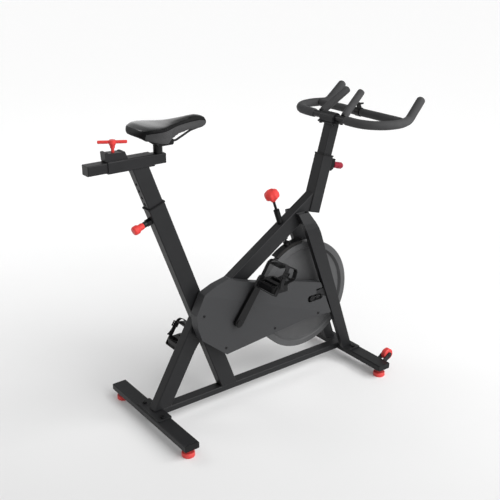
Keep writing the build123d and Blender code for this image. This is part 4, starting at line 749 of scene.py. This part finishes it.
# ---------------------------------------------------------------- brake knob
BRAKE_LEAN = math.radians(19.45)
BRAKE_ROOT = mm(241, 0, 330)                # the rod's line starts here, at the flywheel's axle
KNOB_BASE = 423.0                           # and meets the knob this far up
KNOB_SIDES, KNOB_LOBES, LOBE_DEPTH = 120, 8, 2.3
# (height, radius): neck, flare, rim, domed top, and the dimple in its middle
KNOB_PROFILE = ((0.2, 6.0), (0.2, 9.0), (0.8, 10.0), (5, 11.0), (8.5, 13.5), (11.5, 20), (14, 24.4),
                (17.5, 26.8), (23, 27.6), (30, 27.4), (35.5, 25.6), (40, 21.5), (43, 16), (44.8, 11.4),
                (45.2, 10.6), (44.6, 10.0), (43.6, 9.2), (43.4, 5), (43.4, 0))
brake_up = Vector((-math.sin(BRAKE_LEAN), 0, math.cos(BRAKE_LEAN)))
knob = bmesh.new()
turned(knob, BRAKE_ROOT + brake_up * (KNOB_BASE * MM), brake_up,
       [(s * MM, r * MM) for s, r in KNOB_PROFILE], KNOB_SIDES, KNOB_LOBES, LOBE_DEPTH * MM)
brake_knob = make_object("brake_knob_lobed", knob, red_plastic, "tension_knob",
                         smooth=math.radians(50))
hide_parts("brake_knob")


# ---------------------------------------------------------------- toe straps
STRAP_LEAN = math.radians(32)
strap_up = Vector((math.sin(STRAP_LEAN), 0, math.cos(STRAP_LEAN)))
strap_across = Vector((math.cos(STRAP_LEAN), 0, -math.sin(STRAP_LEAN)))
# a tape's section as shares of its width and thickness, with thicker selvedges on one face
TAPE_SECTION = ((-0.5, 0.2), (-0.46, 0.5), (-0.4, 0.62), (-0.3, 0.5), (0.3, 0.5), (0.4, 0.62), (0.46, 0.5),
                (0.5, 0.2), (0.5, -0.2), (0.46, -0.5), (-0.46, -0.5), (-0.5, -0.2))
STRAP_BACK = -22.0          # the strap stands this far behind the pedal's middle
STRAP_HALF, STRAP_LOW, STRAP_HIGH = 51.0, -20.0, 93.0   # the loop round pedal and shoe
STRAP_LOW_R, STRAP_HIGH_R = 6.0, 23.0
STRAP_WIDTH, STRAP_THICK, TAIL_THICK = 15.0, 1.9, 1.8
STRAP_STEP = 5.0
TAIL = ((53.4, 74), (53.8, 56), (55.4, 38), (60, 22), (66, 12))     # (y, height) of the loose end
BUCKLE_PLACE = (54.5, 62)
BUCKLE_SIDE, SIDE_SHIFT = (3.2, 6.4, 22.0), 11.6
BUCKLE_BAR, BAR_SHIFT, BAR_OUT = (26.0, 3.0, 2.8), 9.6, 1.6
BUCKLE_BEVEL = 0.7


def tape(bm, path, thick, closed):
    """Woven tape along the path, as a closed loop or with two cut ends."""
    rings = []
    for i, place in enumerate(path):
        before = path[i - 1] if closed or i else place
        after = path[(i + 1) % len(path)] if closed or i < len(path) - 1 else place
        out = (after - before).normalized().cross(strap_across)
        rings.append([bm.verts.new(place + strap_across * (u * STRAP_WIDTH * MM) + out * (v * thick * MM))
                      for u, v in TAPE_SECTION])
    for lower, upper in zip(rings, rings[1:]):
        bridge(bm, lower, upper)
    if closed:
        bridge(bm, rings[-1], rings[0])
    else:
        cap_both(bm, rings)


def pedal_centre(name):
    low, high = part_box(f"pedal_{name}")
    return (Vector(low) + Vector(high)) / 2


def strap_point(name, y, height):
    """Point in the strap's leaning plane, y to the left and height up it from the pedal's middle."""
    return pedal_centre(name) + mm(STRAP_BACK, 0, 0) + Y * (y * MM) + strap_up * (height * MM)


def toe_strap(hand, name):
    """Tape loop round the cage, with a loose tail on the outer side."""
    outline = ((0, STRAP_LOW), (STRAP_HALF, STRAP_LOW), (STRAP_HALF, STRAP_HIGH), (-STRAP_HALF, STRAP_HIGH),
               (-STRAP_HALF, STRAP_LOW), (0, STRAP_LOW))
    corners = [strap_point(name, y, height) for y, height in outline]
    radii = [radius * MM for radius in (STRAP_LOW_R, STRAP_HIGH_R, STRAP_HIGH_R, STRAP_LOW_R)]
    loop = subdivided(rounded_path(corners, radii), STRAP_STEP * MM)[:-1]
    strap = bmesh.new()
    tape(strap, loop, STRAP_THICK, closed=True)
    tail = spline([strap_point(name, hand * y, height) for y, height in TAIL])
    tape(strap, tail, TAIL_THICK, closed=False)
    piece = make_object(f"toe_strap_tape_{name}", strap, strap_tape, f"{name}_pedal")
    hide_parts(f"toe_strap_{name}")


def strap_buckle(hand, name):
    """Ladder buckle: two side bars joined by three cross bars."""
    buckle = bmesh.new()
    axes = (strap_across, Y, strap_up)
    y, height = BUCKLE_PLACE
    middle = strap_point(name, hand * y, height)
    for shift in (-SIDE_SHIFT, SIDE_SHIFT):
        block(buckle, middle + strap_across * (shift * MM), axes, [length * MM for length in BUCKLE_SIDE])
    for shift in (-BAR_SHIFT, 0.0, BAR_SHIFT):
        place = middle + strap_up * (shift * MM) + Y * (hand * BAR_OUT * MM)
        block(buckle, place, axes, [length * MM for length in BUCKLE_BAR])
    piece = make_object(f"strap_buckle_{name}", buckle, black_oxide, f"{name}_pedal",
                        weld=0.0)
    bevelled(piece, BUCKLE_BEVEL * MM)


for hand, name in HANDS:
    toe_strap(hand, name)
    strap_buckle(hand, name)


# ---------------------------------------------------------------- stage
FLOOR_HALF = 30.0
FLOOR_CORNERS = [(-FLOOR_HALF, -FLOOR_HALF, 0), (FLOOR_HALF, -FLOOR_HALF, 0),
                 (FLOOR_HALF, FLOOR_HALF, 0), (-FLOOR_HALF, FLOOR_HALF, 0)]
NEAR_FLOOR, FAR_FLOOR = (0.56, 0.56, 0.56), (0.96, 0.96, 0.96)
FLOOR_AWAY = (0.6, 0.8)                     # the floor is painted paler along this direction in X and Y, the camera's view, as painted light falloff
FLOOR_FADE = (-0.9, 2.6)                    # between these distances along it
# painted glow: the floor gives off a little even light of its own, lifting it and its shadows
FLOOR_GLOW = 0.09


def floor_with_painted_falloff():
    """Matt floor painted grey round the bike and nearly white further along the camera's view, as painted
    light falloff, with a faint unevenness and an even painted glow.
    """
    t = Tree("floor_with_painted_falloff")
    split = t.add("ShaderNodeSeparateXYZ")
    t.link(t.coords, split.inputs[0])
    away = t.math("ADD", t.math("MULTIPLY", split.outputs[0], FLOOR_AWAY[0]),
                  t.math("MULTIPLY", split.outputs[1], FLOOR_AWAY[1]))
    away = t.math("ADD", away, t.span(t.noise(scale=3.0), *NOISE_SPAN, -0.03, 0.03))
    # grey near, nearly white far: painted light falloff
    colour = t.mix(t.span(away, *FLOOR_FADE), NEAR_FLOOR, FAR_FLOOR)
    # painted glow from the floor itself
    return t.finish(colour, 0.7, Emission_Color=(1.0, 1.0, 1.0, 1.0), Emission_Strength=FLOOR_GLOW)


floor_mesh = bpy.data.meshes.new("floor")
floor_mesh.from_pydata(FLOOR_CORNERS, [], [(0, 1, 2, 3)])
floor_mesh.materials.append(floor_with_painted_falloff())
floor = placed("floor", floor_mesh)

# a pale wall of light round the horizon and a dimmer ceiling
HORIZON_LIGHT, OVERHEAD_LIGHT = 0.92, 0.36
WALL_TOP, CEILING_FROM = 0.08, 0.5          # a unit direction's height where wall ends, ceiling starts
world = bpy.data.worlds.new("studio")
world.use_nodes = True
sky = world.node_tree
direction = sky.nodes.new("ShaderNodeTexCoord")
height = sky.nodes.new("ShaderNodeSeparateXYZ")
fade = sky.nodes.new("ShaderNodeMapRange")
fade.interpolation_type = "SMOOTHSTEP"
for key, number in zip(RANGE_INPUTS, (WALL_TOP, CEILING_FROM, HORIZON_LIGHT, OVERHEAD_LIGHT)):
    fade.inputs[key].default_value = number
sky.links.new(direction.outputs["Generated"], height.inputs[0])
sky.links.new(height.outputs["Z"], fade.inputs["Value"])
sky.links.new(fade.outputs["Result"], sky.nodes["Background"].inputs["Strength"])
sky.nodes["Background"].inputs["Color"].default_value = (1.0, 1.0, 1.0, 1.0)
bpy.context.scene.world = world


def looking(direction):
    """Rotation of a light or camera that looks along a direction."""
    return direction.to_track_quat("-Z", "Y").to_euler()


def area_light(name, place, target, size, watts):
    data = bpy.data.lights.new(name, "AREA")
    data.size = size
    data.energy = watts
    light = placed(name, data)
    light.location = place
    light.rotation_euler = looking(Vector(target) - Vector(place))


area_light("key", place=(0.2, -3.4, 1.6), target=(0, 0, 0.6), size=1.8, watts=44)
area_light("bar_fill", place=(1.35, -1.35, 1.5), target=(0.4, 0, 1.0), size=0.7, watts=12)
area_light("rim", place=(-1.6, 2.6, 2.8), target=(0, 0, 0.7), size=1.6, watts=20)

SUN_STRENGTH, SUN_SPREAD = 2.2, math.radians(50)
SUN_DIRECTION = Vector((-0.4, 0.75, -1.0))
sun_data = bpy.data.lights.new("sun", "SUN")
sun_data.energy = SUN_STRENGTH
sun_data.angle = SUN_SPREAD
placed("sun", sun_data).rotation_euler = looking(SUN_DIRECTION)


# ---------------------------------------------------------------- camera
CAMERA_PLACE = Vector((-1.643, -2.201, 1.6476))
AZIMUTH, ELEVATION = math.radians(-36.66), math.radians(21.52)
SENSOR_WIDTH, LENS = 36.0, 59.42
camera_data = bpy.data.cameras.new("camera")
camera_data.sensor_width = SENSOR_WIDTH
camera_data.lens = LENS
camera = placed("camera", camera_data)
back = Vector((math.sin(AZIMUTH) * math.cos(ELEVATION), -math.cos(AZIMUTH) * math.cos(ELEVATION),
               math.sin(ELEVATION)))
camera.location = CAMERA_PLACE
camera.rotation_euler = looking(-back)
bpy.context.scene.camera = camera
bpy.context.scene.view_settings.view_transform = "Standard"
